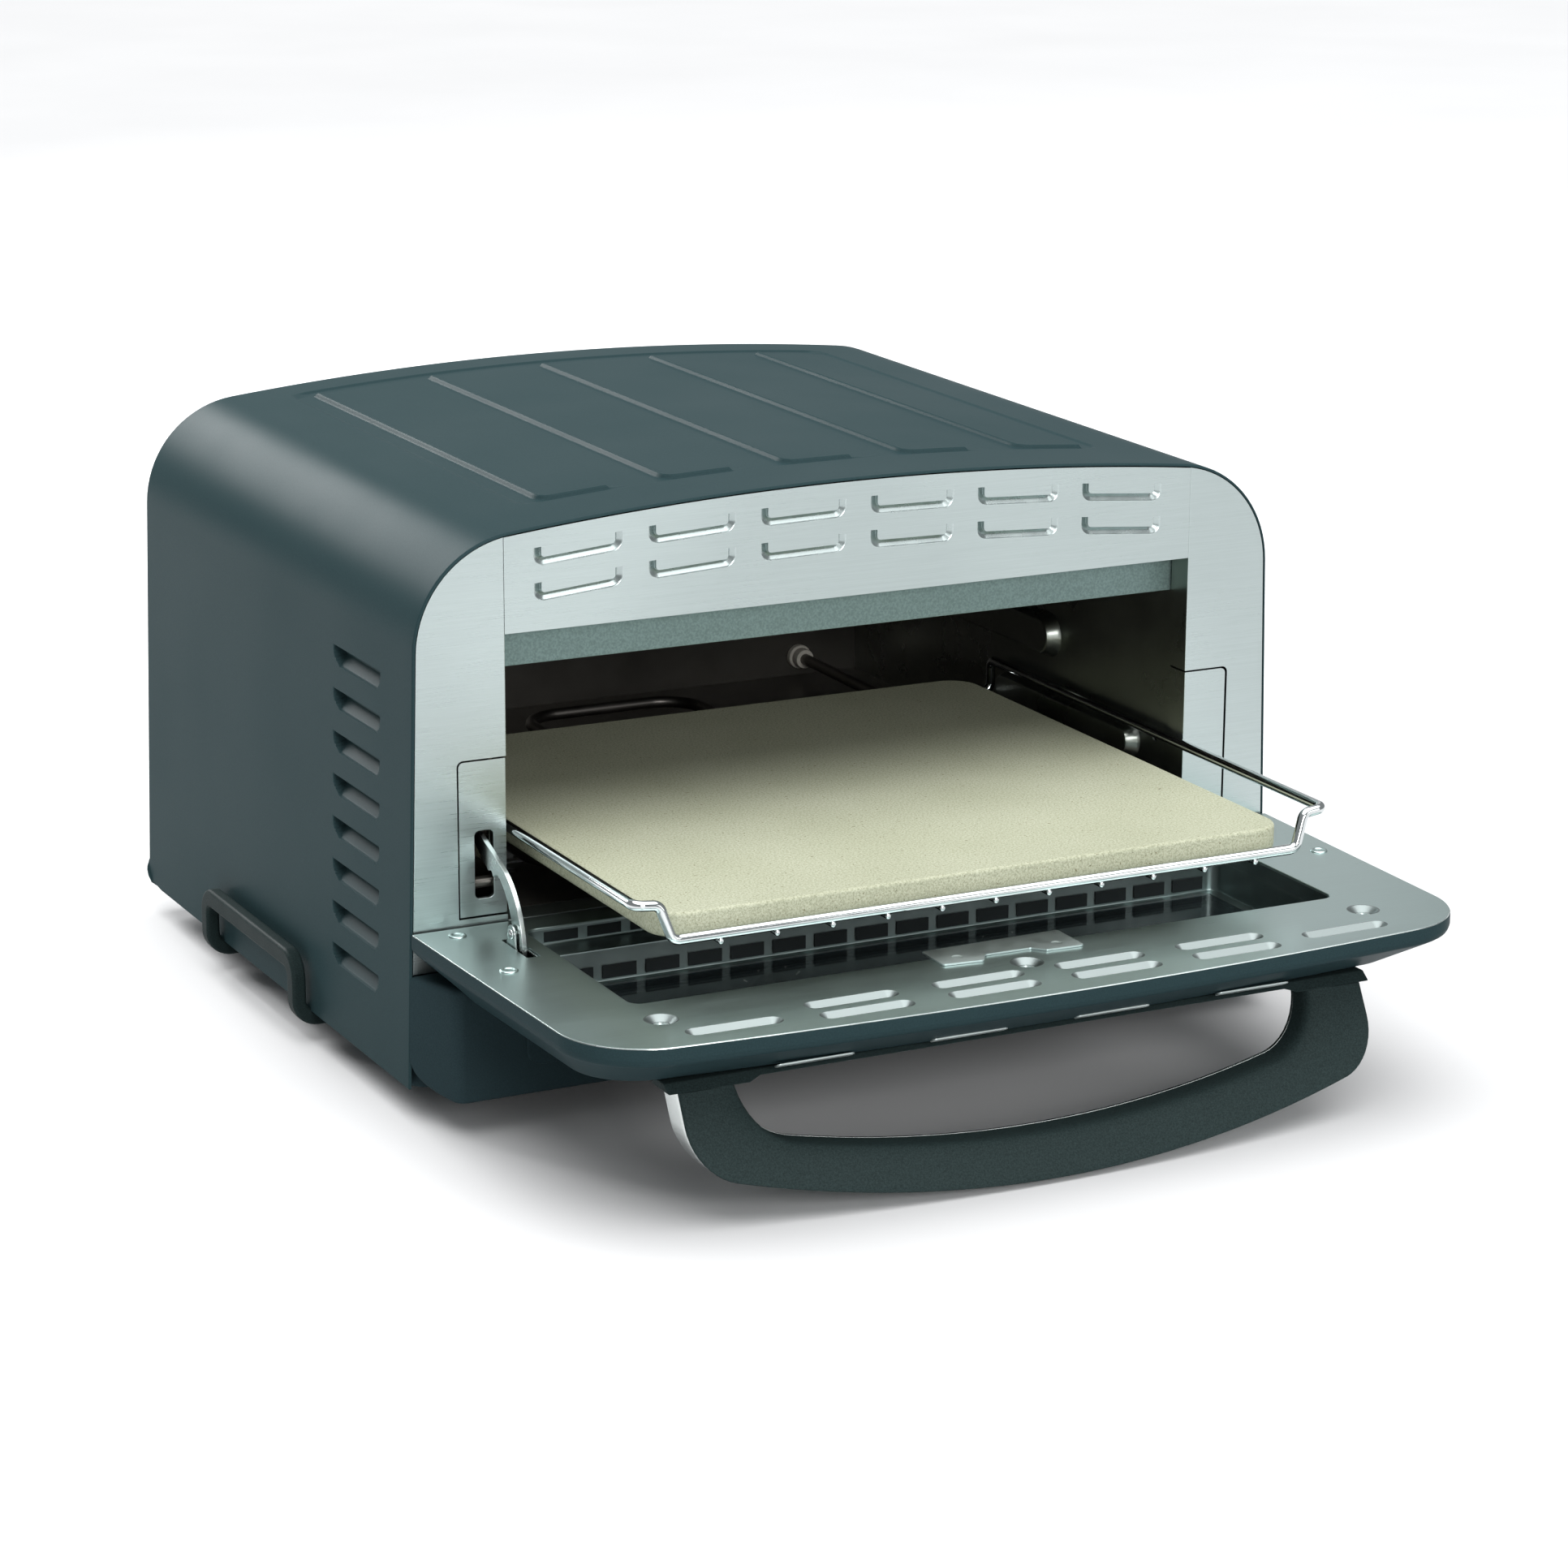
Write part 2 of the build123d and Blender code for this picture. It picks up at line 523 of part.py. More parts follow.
def knob(x):
    """Skirted knob with a grip bar and its shaft."""
    with BuildPart() as body:
        with Locations(Location((x, COVER_Y - 2.4, KNOB_Z), (90, 0, 0))):
            Cylinder(13.0, 3.0)
        with Locations(Location((x, COVER_Y - 8.4, KNOB_Z), (90, 0, 0))):
            Cone(10.5, 9.6, 9.0)
        block(x - 2.6, x + 2.6, COVER_Y - 15.0, COVER_Y - 9, KNOB_Z - 9.0, KNOB_Z + 9.0)
        rod_y(x, COVER_Y - 4, COVER_Y + 14, KNOB_Z, SHAFT_R)
        block(x - 0.7, x + 0.7, COVER_Y - 15.6, COVER_Y - 14, KNOB_Z + 1.0, KNOB_Z + 8.4)
    return body.part


with BuildPart() as knob_temperature:
    add(knob(-KNOB_X))
knob_temperature.part.move(TO_ORIGIN)
knob_temperature.part.label = "knob_temperature"
export_step(knob_temperature.part, "parts/knob_temperature.step")

with BuildPart() as knob_timer:
    add(knob(KNOB_X))
knob_timer.part.move(TO_ORIGIN)
knob_timer.part.label = "knob_timer"
export_step(knob_timer.part, "parts/knob_timer.step")

# ---------------------------------------------------------------- carry handles, gland, screws
GRIP_Y0 = 128.0
GRIP_Y1 = 264.0

with BuildPart() as carry_handle_left:
    # strap on the side with legs that turn in under the base
    block(-247.5, -238.2, GRIP_Y0, GRIP_Y1, FACE_Z - 55.5, FACE_Z - 46.5)
    for y0 in (GRIP_Y0, GRIP_Y1 - 10.0):
        block(-247.5, -238.4, y0, y0 + 10.0, BASE_Z - 7.5, FACE_Z - 50)
        block(-247.5, -222.0, y0, y0 + 10.0, BASE_Z - 7.5, BASE_Z - 0.2)
    fillet(carry_handle_left.edges().filter_by(Axis.X).filter_by_position(Axis.Z, FACE_Z - 46.6, FACE_Z - 46.4)
           .filter_by_position(Axis.X, -243.0, -242.0), 7.0)
    fillet(carry_handle_left.edges().filter_by(Axis.Y).filter_by_position(Axis.Z, BASE_Z - 7.6, BASE_Z - 7.4)
           .filter_by_position(Axis.X, -247.6, -247.4), 6.0)
carry_handle_left.part.move(TO_ORIGIN)
carry_handle_left.part.label = "carry_handle_left"
export_step(carry_handle_left.part, "parts/carry_handle_left.step")

with BuildPart() as carry_handle_right:
    add(mirror_x(carry_handle_left))
carry_handle_right.part.label = "carry_handle_right"
export_step(carry_handle_right.part, "parts/carry_handle_right.step")

with BuildPart() as cord_gland:
    rod_y(GLAND_X, REAR_FACE_Y - 6.0, REAR_FACE_Y + 3.0, GLAND_Z, 7.8)
    rod_y(GLAND_X, REAR_FACE_Y + 0.05, REAR_FACE_Y + 4.0, GLAND_Z, 11.0)
    rod_y(GLAND_X, REAR_FACE_Y - 8.0, REAR_FACE_Y + 6.0, GLAND_Z, 3.5, mode=Mode.SUBTRACT)
cord_gland.part.move(TO_ORIGIN)
cord_gland.part.label = "cord_gland"
export_step(cord_gland.part, "parts/cord_gland.step")

with BuildPart() as rear_screws:
    for x, z in REAR_SCREWS:
        rod_y(x, REAR_FACE_Y + 0.05, REAR_FACE_Y + 1.8, z, 3.6)
        rod_y(x, REAR_FACE_Y - 5.0, REAR_FACE_Y + 0.1, z, 1.8)
rear_screws.part.move(TO_ORIGIN)
rear_screws.part.label = "rear_screws"
export_step(rear_screws.part, "parts/rear_screws.step")

with BuildPart() as arm_guide:
    # stud and bracket behind the left pilaster; the hinge arm rides over it
    rod_x(-204.0, -190.0, 8.0, FACE_Z + 18.0, 2.8)
    block(-206.0, -204.0, 3.6, 30.0, FACE_Z + 6.0, FACE_Z + 24.0)
    block(-190.0, -188.6, 3.6, 30.0, FACE_Z + 6.0, FACE_Z + 24.0)
arm_guide.part.move(TO_ORIGIN)
arm_guide.part.label = "arm_guide"
export_step(arm_guide.part, "parts/arm_guide.step")

# ---------------------------------------------------------------- door hinge
LUG_R = 2.3
PIN_R = 1.2


def hinge_lug(side):
    """Upright lug on the base cover with the bore for the hinge pin."""
    with BuildPart() as lug:
        block(side * 208 - 3, side * 208 + 3, HINGE_Y - LUG_R, HINGE_Y + LUG_R, COVER_TOP_Z - 3, HINGE_Z)
        rod_x(side * 208 - 3, side * 208 + 3, HINGE_Y, HINGE_Z, LUG_R)
        block(side * 208 - 7, side * 208 + 7, HINGE_Y - 5, HINGE_Y + 5, COVER_TOP_Z - 5, COVER_TOP_Z - 2.4)
        rod_x(side * 208 - 8, side * 208 + 8, HINGE_Y, HINGE_Z, PIN_R + 0.05, mode=Mode.SUBTRACT)
    return lug.part


def hinge_bracket(side):
    """Two ears under the inner panel that hold the hinge pin."""
    with BuildPart() as ears:
        block(side * 208 - 8, side * 208 + 8, -20.0, -3.2, FACE_Z - 1.9, FACE_Z - 0.9)
        for x in (side * 208 - 6.5, side * 208 + 6.5):
            block(x - 1.5, x + 1.5, HINGE_Y - LUG_R, HINGE_Y + LUG_R, HINGE_Z, FACE_Z - 1.0)
            rod_x(x - 1.5, x + 1.5, HINGE_Y, HINGE_Z, LUG_R)
            rod_x(x - 2.0, x + 2.0, HINGE_Y, HINGE_Z, PIN_R, mode=Mode.SUBTRACT)
        block(side * 208 - 3.9, side * 208 + 3.9, -9.5, 0, FACE_Z - 5, FACE_Z - 0.5, mode=Mode.SUBTRACT)
    return ears.part


with BuildPart() as hinge_lugs:
    add(hinge_lug(-1))
    add(hinge_lug(1))
hinge_lugs.part.move(TO_ORIGIN)
hinge_lugs.part.label = "hinge_lugs"
export_step(hinge_lugs.part, "parts/hinge_lugs.step")

with BuildPart() as hinge_brackets:
    add(hinge_bracket(-1))
    add(hinge_bracket(1))
hinge_brackets.part.move(TO_ORIGIN)
hinge_brackets.part.label = "hinge_brackets"
export_step(hinge_brackets.part, "parts/hinge_brackets.step")

with BuildPart() as hinge_pins:
    for side in (-1, 1):
        rod_x(side * 208 - 8, side * 208 + 8, HINGE_Y, HINGE_Z, PIN_R)
hinge_pins.part.move(TO_ORIGIN)
hinge_pins.part.label = "hinge_pins"
export_step(hinge_pins.part, "parts/hinge_pins.step")

# ---------------------------------------------------------------- door
PANEL_T = 0.8
BEVEL_SIDE = 19.0
BEVEL_TIP = 37.0
OUT_Z = FACE_Z - DOOR_T          # outer face of the open door, facing the worktop
ARM_SLOT = (-200.6, -193.4, -57.0, -27.0)


def slot_row(y, xs, length, width):
    """A row of rounded slots in the active sketch."""
    for x in xs:
        with Locations((x, y)):
            SlotOverall(length, width)


with BuildPart() as door_inner_panel:
    with BuildSketch(Plane.XY.offset(FACE_Z - PANEL_T)):
        add(door_outline(0.4, DOOR_REAR_Y, DOOR_TIP_Y + 0.4, DOOR_CORNER_R - 0.4))
        with Locations((0, (WIN_REAR_Y + WIN_FRONT_Y) / 2)):
            RectangleRounded(2 * WIN_HALF, WIN_REAR_Y - WIN_FRONT_Y, 6.0, mode=Mode.SUBTRACT)
        with Locations(((ARM_SLOT[0] + ARM_SLOT[1]) / 2, (ARM_SLOT[2] + ARM_SLOT[3]) / 2)):
            Rectangle(ARM_SLOT[1] - ARM_SLOT[0], ARM_SLOT[3] - ARM_SLOT[2], mode=Mode.SUBTRACT)
    extrude(amount=PANEL_T)
    # pressed slots, nearly through the sheet
    with BuildSketch(Plane.XY.offset(FACE_Z - 0.45)):
        slot_row(-174.5, (-94.5, -29.8, 33.9, 98.3), 47.0, 10.0)
        slot_row(-190.0, (-94.5, -29.8, 33.9, 98.3), 47.0, 10.0)
        slot_row(-185.0, (-157.5, 161.3), 47.0, 10.0)
    extrude(amount=1.0, mode=Mode.SUBTRACT)
    # countersunk holes
    for x in (-182.5, 2.4, 186.5):
        rod_z(x, -162.5, FACE_Z - 2, FACE_Z + 2, 4.0, mode=Mode.SUBTRACT)
door_inner_panel.part.move(TO_ORIGIN)
door_inner_panel.part.label = "door_inner_panel"
export_step(door_inner_panel.part, "parts/door_inner_panel.step")

with BuildPart() as door_shell:
    with BuildSketch(Plane.XY.offset(FACE_Z - LIP)):
        add(door_outline(0, DOOR_REAR_Y, DOOR_TIP_Y, DOOR_CORNER_R))
    extrude(amount=LIP - PANEL_T - 0.1)
    with BuildSketch(Plane.XY.offset(FACE_Z - LIP)):
        add(door_outline(0, DOOR_REAR_Y, DOOR_TIP_Y, DOOR_CORNER_R))
    with BuildSketch(Plane.XY.offset(OUT_Z)):
        add(door_outline(BEVEL_SIDE, DOOR_REAR_Y, DOOR_TIP_Y + BEVEL_TIP, 30.0))
    loft()
    with BuildSketch(Plane.XY.offset(FACE_Z - LIP)):
        add(door_outline(SKIN, DOOR_REAR_Y - SKIN, DOOR_TIP_Y + SKIN, DOOR_CORNER_R - SKIN))
    extrude(amount=LIP + 5, mode=Mode.SUBTRACT)
    with BuildSketch(Plane.XY.offset(FACE_Z - LIP)):
        add(door_outline(SKIN, DOOR_REAR_Y - SKIN, DOOR_TIP_Y + SKIN, DOOR_CORNER_R - SKIN))
    with BuildSketch(Plane.XY.offset(OUT_Z + SKIN)):
        add(door_outline(BEVEL_SIDE + 0.6, DOOR_REAR_Y - SKIN, DOOR_TIP_Y + BEVEL_TIP + 0.6, 29.4))
    loft(mode=Mode.SUBTRACT)
    # the underside is cut back near the hinge so that it clears the base cover
    with BuildSketch(Plane.YZ.offset(-250)):
        Polygon((1, 86.5), (-30.5, 75.3), (-32.0, 60.0), (10, 60), (10, 86.5), align=None)
    extrude(amount=500, mode=Mode.SUBTRACT)
    with BuildSketch(Plane.YZ.offset(-232.4)):
        Polygon((DOOR_REAR_Y, 85.57), (-30.5, 75.3), (-32.0, 65.0), (-33.6, 65.0), (-33.6, 66.5),
                (-32.0, 76.7), (DOOR_REAR_Y - SKIN, 87.4), (DOOR_REAR_Y, 87.4), align=None)
    extrude(amount=464.8)
    with BuildSketch(Plane.XY.offset(OUT_Z - 1)):
        with Locations((0, (-33.6 - 144.2) / 2)):
            RectangleRounded(380.8, 144.2 - 33.6, 4.0)
    extrude(amount=6.0, mode=Mode.SUBTRACT)
    for side in (-1, 1):
        block(side * 208 - 8.6, side * 208 + 8.6, -12.0, 1.0, 80.0, FACE_Z + 1, mode=Mode.SUBTRACT)
door_shell.part.move(TO_ORIGIN)
door_shell.part.label = "door_shell"
export_step(door_shell.part, "parts/door_shell.step")

with BuildPart() as window_frame:
    # folded channel between the panel's opening and the glass, stepped up over the hinge
    block(-WIN_HALF - 1.2, WIN_HALF + 1.2, WIN_FRONT_Y - 1.2, WIN_REAR_Y + 1.2, OUT_Z + 3.2, FACE_Z - 0.9)
    block(-WIN_HALF, WIN_HALF, WIN_FRONT_Y, WIN_REAR_Y, OUT_Z - 2, FACE_Z + 2, mode=Mode.SUBTRACT)
    block(-200, 200, -33.9, 0, OUT_Z - 2, 83.0, mode=Mode.SUBTRACT)
    block(-WIN_HALF - 1.2, WIN_HALF + 1.2, -35.1, WIN_REAR_Y + 1.2, 83.0, 84.2)
    block(-WIN_HALF - 1.2, WIN_HALF + 1.2, -35.1, -33.9, OUT_Z + 3.2, 84.2)
    for i in range(12):
        x = -165.0 + i * 30.0
        block(x - 8, x + 8, -20, -10, 85.0, 91.0, mode=Mode.SUBTRACT)
        block(x - 8, x + 8, -36, -32, 71.5, 79.5, mode=Mode.SUBTRACT)
window_frame.part.move(TO_ORIGIN)
window_frame.part.label = "window_frame"
export_step(window_frame.part, "parts/window_frame.step")

with BuildPart() as door_glass:
    with BuildSketch(Plane.XY.offset(OUT_Z)):
        with Locations((0, (-34.0 - 143.8) / 2)):
            RectangleRounded(380.0, 143.8 - 34.0, 3.6)
    extrude(amount=GLASS_T)
door_glass.part.move(TO_ORIGIN)
door_glass.part.label = "door_glass"
export_step(door_glass.part, "parts/door_glass.step")

with BuildPart() as glass_clamp:
    with BuildSketch(Plane.XY.offset(FACE_Z + 0.1)):
        Polygon((-35.3, -130.4), (-35.3, -151.5), (-15.0, -153.5), (-10.6, -146.6), (13.2, -147.0),
                (18.7, -152.8), (38.0, -153.8), (38.0, -128.8), align=None)
    extrude(amount=0.9)
glass_clamp.part.move(TO_ORIGIN)
glass_clamp.part.label = "glass_clamp"
export_step(glass_clamp.part, "parts/glass_clamp.step")

with BuildPart() as door_rivets:
    # raised ring heads, with shanks that hold the hinge brackets and the shell
    for x, y in ((-216.5, -12.4), (-215.5, -70.6), (216.5, -12.4), (222.0, -70.6)):
        rod_z(x, y, FACE_Z + 0.05, FACE_Z + 0.75, 4.3)
        rod_z(x, y, FACE_Z - 0.4, FACE_Z + 2.0, 2.2, mode=Mode.SUBTRACT)
door_rivets.part.move(TO_ORIGIN)
door_rivets.part.label = "door_rivets"
export_step(door_rivets.part, "parts/door_rivets.step")

with BuildPart() as door_screws:
    for x in (-182.5, 2.4, 186.5):
        with Locations((x, -162.5, FACE_Z - 2.6)):
            Cone(3.2, 3.9, 2.4)
        rod_z(x, -162.5, OUT_Z + 8.0, FACE_Z - 3.7, 2.6)
door_screws.part.move(TO_ORIGIN)
door_screws.part.label = "door_screws"
export_step(door_screws.part, "parts/door_screws.step")

# ---------------------------------------------------------------- door handle
PAD_X = 184.0
BOW_TILT = 28.0
BOW_TOP_Z = FACE_Z - 32.0
BOW_FRONT_Y = -173.5
BOW_D = 18.0
BOW_LOW_Z = FACE_Z - 90.4
BOW_IN_Z = FACE_Z - 72.2
BOW_OUT_X = 179.0
BOW_IN_X = 150.5
BOW_R = 641.0

with BuildPart() as handle_base:
    with BuildSketch(Plane.YZ.offset(-PAD_X)):
        Polygon((-168.2, OUT_Z - 0.1), (-173.5, OUT_Z - 4.0), (-155.5, OUT_Z - 4.0), (-155.5, OUT_Z - 0.1),
                align=None)
    extrude(amount=2 * PAD_X)
    block(-139.0, 139.0, -180, -150, OUT_Z - 5, OUT_Z - 2.4, mode=Mode.SUBTRACT)
handle_base.part.move(TO_ORIGIN)
handle_base.part.label = "handle_base"
export_step(handle_base.part, "parts/handle_base.step")


def bow_slab(front, back):
    """Leaning slice of the handle's bow, between two depths behind its front face."""
    z0 = BOW_TOP_Z - 0.1
    z1 = BOW_LOW_Z - 4.0
    lean = sin(radians(BOW_TILT)) / cos(radians(BOW_TILT))
    y1 = BOW_FRONT_Y - (BOW_TOP_Z - z1) * lean
    sag = BOW_OUT_X ** 2 / (2 * BOW_R)
    sag_in = BOW_IN_X ** 2 / (2 * BOW_R)
    with BuildPart() as bow:
        with BuildSketch(Plane.XZ.offset(120.0)) as face:
            with BuildLine():
                Line((-BOW_OUT_X, z0), (BOW_OUT_X, z0))
                Line((BOW_OUT_X, z0), (BOW_OUT_X, BOW_LOW_Z + sag))
                ThreePointArc((BOW_OUT_X, BOW_LOW_Z + sag), (0, BOW_LOW_Z), (-BOW_OUT_X, BOW_LOW_Z + sag))
                Line((-BOW_OUT_X, BOW_LOW_Z + sag), (-BOW_OUT_X, z0))
            make_face()
            fillet(face.vertices().sort_by(Axis.Y)[:2], 18.0)
        extrude(amount=120.0)
        with BuildSketch(Plane.XZ.offset(110.0)) as gap:
            with BuildLine():
                Line((-BOW_IN_X, z0 + 5), (BOW_IN_X, z0 + 5))
                Line((BOW_IN_X, z0 + 5), (BOW_IN_X, BOW_IN_Z + sag_in))
                ThreePointArc((BOW_IN_X, BOW_IN_Z + sag_in), (0, BOW_IN_Z), (-BOW_IN_X, BOW_IN_Z + sag_in))
                Line((-BOW_IN_X, BOW_IN_Z + sag_in), (-BOW_IN_X, z0 + 5))
            make_face()
            fillet(gap.vertices().sort_by(Axis.Y)[:2], 22.0)
        extrude(amount=140.0, mode=Mode.SUBTRACT)
        with BuildSketch(Plane.YZ.offset(-200.0)):
            Polygon((BOW_FRONT_Y + front, BOW_TOP_Z), (y1 + front, z1), (y1 + back, z1),
                    (BOW_FRONT_Y + back, BOW_TOP_Z), align=None)
        extrude(amount=400.0, mode=Mode.INTERSECT)
    return bow.part


with BuildPart() as handle_grip:
    add(bow_slab(0.0, 4.0))
handle_grip.part.move(TO_ORIGIN)
handle_grip.part.label = "handle_grip"
export_step(handle_grip.part, "parts/handle_grip.step")

with BuildPart() as handle_band:
    add(bow_slab(4.05, BOW_D))
handle_band.part.move(TO_ORIGIN)
handle_band.part.label = "handle_band"
export_step(handle_band.part, "parts/handle_band.step")

# ---------------------------------------------------------------- hinge arm on the left of the door
ARM_X0 = -198.2
ARM_X1 = -195.8
ARM_R0 = 29.0
ARM_R1 = 42.0
ARM_PIN_Y = -36.7
ARM_PIN_Z = FACE_Z + 5.5
ARM_PIN_R = 1.6

with BuildPart() as hinge_arm:
    with BuildSketch(Plane.YZ.offset(ARM_X0)):
        with BuildLine():
            a0 = radians(184)
            a1 = radians(64)
            mid = (a0 + a1) / 2
            ThreePointArc((HINGE_Y + ARM_R1 * cos(a0), HINGE_Z + ARM_R1 * sin(a0)),
                          (HINGE_Y + ARM_R1 * cos(mid), HINGE_Z + ARM_R1 * sin(mid)),
                          (HINGE_Y + ARM_R1 * cos(a1), HINGE_Z + ARM_R1 * sin(a1)))
            Line((HINGE_Y + ARM_R1 * cos(a1), HINGE_Z + ARM_R1 * sin(a1)),
                 (HINGE_Y + ARM_R0 * cos(a1), HINGE_Z + ARM_R0 * sin(a1)))
            ThreePointArc((HINGE_Y + ARM_R0 * cos(a1), HINGE_Z + ARM_R0 * sin(a1)),
                          (HINGE_Y + ARM_R0 * cos(mid), HINGE_Z + ARM_R0 * sin(mid)),
                          (HINGE_Y + ARM_R0 * cos(a0), HINGE_Z + ARM_R0 * sin(a0)))
            Line((HINGE_Y + ARM_R0 * cos(a0), HINGE_Z + ARM_R0 * sin(a0)),
                 (HINGE_Y + ARM_R1 * cos(a0), HINGE_Z + ARM_R1 * sin(a0)))
        make_face()
    extrude(amount=ARM_X1 - ARM_X0)
    rod_x(-205, -190, ARM_PIN_Y, ARM_PIN_Z, ARM_PIN_R + 0.05, mode=Mode.SUBTRACT)
    # notches in the inner edge
    for deg in (112, 119):
        rod_x(-205, -190, HINGE_Y + ARM_R0 * cos(radians(deg)), HINGE_Z + ARM_R0 * sin(radians(deg)), 1.6,
              mode=Mode.SUBTRACT)
hinge_arm.part.move(TO_ORIGIN)
hinge_arm.part.label = "hinge_arm"
export_step(hinge_arm.part, "parts/hinge_arm.step")

with BuildPart() as arm_bracket:
    block(-206.0, -189.0, -60.0, -24.0, FACE_Z - 1.9, FACE_Z - 0.9)
    block(-198.8, -195.2, -58.0, -26.0, FACE_Z - 4, FACE_Z + 1, mode=Mode.SUBTRACT)
    for x0 in (-199.9, -195.1):
        block(x0, x0 + 1.0, -42.0, -31.4, FACE_Z - 1.9, ARM_PIN_Z)
        rod_x(x0, x0 + 1.0, ARM_PIN_Y, ARM_PIN_Z, 4.0)
        rod_x(x0 - 1, x0 + 2.0, ARM_PIN_Y, ARM_PIN_Z, ARM_PIN_R, mode=Mode.SUBTRACT)
arm_bracket.part.move(TO_ORIGIN)
arm_bracket.part.label = "arm_bracket"
export_step(arm_bracket.part, "parts/arm_bracket.step")

with BuildPart() as arm_pin:
    rod_x(-199.9, -194.1, ARM_PIN_Y, ARM_PIN_Z, ARM_PIN_R)
arm_pin.part.move(TO_ORIGIN)
arm_pin.part.label = "arm_pin"
export_step(arm_pin.part, "parts/arm_pin.step")

# ---------------------------------------------------------------- rack and stone
with BuildPart() as rack_frame_half:
    with BuildLine():
        FilletPolyline(
            (0, BAR_Y, BAR_Z), (BAR_HALF, BAR_Y, BAR_Z), (169.8, BAR_Y + 2.2, RAIL_Z - 1.0),
            (RAIL_X, BAR_Y + 3.0, RAIL_Z), (RAIL_X, RACK_REAR_Y, RAIL_Z), (RAIL_X, RACK_REAR_Y, BAR_Z),
            (0, RACK_REAR_Y, BAR_Z), radius=4.6)
    with BuildSketch(Plane(origin=(0, BAR_Y, BAR_Z), z_dir=(1, 0, 0))):
        Circle(WIRE_R)
    sweep()
with BuildPart() as rack_frame:
    add(rack_frame_half.part)
    mirror(about=Plane.YZ)
rack_frame.part.move(TO_ORIGIN)
rack_frame.part.label = "rack_frame"
export_step(rack_frame.part, "parts/rack_frame.step")

with BuildPart() as rack_rods:
    for i in range(-5, 6):
        rod_y(i * ROD_PITCH, BAR_Y - 1.4, RACK_REAR_Y + 2.0, ROD_Z, ROD_R)
    for y in (-20.0, 85.0):
        rod_x(-5 * ROD_PITCH - 3, 5 * ROD_PITCH + 3, y, ROD_Z, ROD_R)
rack_rods.part.move(TO_ORIGIN)
rack_rods.part.label = "rack_rods"
export_step(rack_rods.part, "parts/rack_rods.step")

with BuildPart() as pizza_stone:
    with BuildSketch(Plane.XY.offset(STONE_Z0)):
        with Locations(((STONE_X0 + STONE_X1) / 2, (STONE_Y0 + STONE_Y1) / 2)):
            RectangleRounded(STONE_X1 - STONE_X0, STONE_Y1 - STONE_Y0, 16.0)
    extrude(amount=STONE_T)
    fillet(pizza_stone.faces().sort_by(Axis.Z)[-1].edges(), 1.5)
    fillet(pizza_stone.faces().sort_by(Axis.Z)[0].edges(), 1.5)
pizza_stone.part.move(TO_ORIGIN)
pizza_stone.part.label = "pizza_stone"
export_step(pizza_stone.part, "parts/pizza_stone.step")
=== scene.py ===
from math import atan2, cos, hypot, pi, radians, sin, sqrt, tan

import bmesh
import bpy
from mathutils import Matrix, Vector


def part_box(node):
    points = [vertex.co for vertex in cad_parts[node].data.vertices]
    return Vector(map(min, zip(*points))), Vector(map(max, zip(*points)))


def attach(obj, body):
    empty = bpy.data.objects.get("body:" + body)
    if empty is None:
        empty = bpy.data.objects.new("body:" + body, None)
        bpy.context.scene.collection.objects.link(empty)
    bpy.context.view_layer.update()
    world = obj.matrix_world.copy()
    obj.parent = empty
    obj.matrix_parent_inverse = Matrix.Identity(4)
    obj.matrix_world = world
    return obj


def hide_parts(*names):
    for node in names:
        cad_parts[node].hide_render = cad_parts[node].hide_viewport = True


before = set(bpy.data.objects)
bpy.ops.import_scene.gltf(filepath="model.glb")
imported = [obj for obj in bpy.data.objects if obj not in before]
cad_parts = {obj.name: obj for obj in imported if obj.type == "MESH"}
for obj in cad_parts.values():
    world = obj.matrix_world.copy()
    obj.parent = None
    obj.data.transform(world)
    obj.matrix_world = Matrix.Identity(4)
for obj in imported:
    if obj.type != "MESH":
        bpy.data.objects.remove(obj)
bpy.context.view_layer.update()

# ------------------------------------------------------------------ driving dimensions, in mm
# Shapes are written in mm with y = 0 at the housing's front edge, as the CAD has them.
FRONT_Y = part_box("housing_wrap")[0].y
SILL_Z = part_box("door_inner_panel")[1].z * 1000
BODY_D = (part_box("housing_wrap")[1].y - FRONT_Y) * 1000
PEAK_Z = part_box("housing_wrap")[1].z * 1000
WRAP_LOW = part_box("housing_wrap")[0].z * 1000
HALF_W = 235.0
DRAFT = 0.0281
ROOF_R = 1700.0
CORNER_R = 55.0
MOUTH_HALF = 185.5
MOUTH_TOP = 231.2
HINGE_Y = -5.5
HINGE_Z = 89.4
DOOR_T = 28.0
DOOR_LIP = 8.0
OUT_Z = SILL_Z - DOOR_T
DOOR_REAR = -1.8
DOOR_TIP = -208.0
DOOR_R = 2200.0
DOOR_CORNER = 42.0


def half_w(z):
    """Half width of the drafted body at height z."""
    return HALF_W - DRAFT * (z - SILL_Z)


def arch_z(x, inset=0.0):
    """Height of the roof arch over x."""
    return PEAK_Z - ROOF_R + sqrt((ROOF_R - inset) ** 2 - x * x)


# ------------------------------------------------------------------ materials
def new_material(name):
    mat = bpy.data.materials.new(name)
    mat.use_nodes = True
    tree = mat.node_tree
    return mat, tree, tree.nodes["Principled BSDF"]


def link(tree, a, b):
    tree.links.new(a, b)


def noise(tree, scale, detail=3.0, stretch=(1, 1, 1), rough=0.55):
    """Noise in the row frame. stretch is larger where the pattern is finer."""
    coords = tree.nodes.new("ShaderNodeTexCoord")
    mapping = tree.nodes.new("ShaderNodeMapping")
    mapping.inputs["Scale"].default_value = stretch
    tex = tree.nodes.new("ShaderNodeTexNoise")
    tex.inputs["Scale"].default_value = scale
    tex.inputs["Detail"].default_value = detail
    tex.inputs["Roughness"].default_value = rough
    link(tree, coords.outputs["Object"], mapping.inputs["Vector"])
    link(tree, mapping.outputs["Vector"], tex.inputs["Vector"])
    return tex.outputs["Fac"]


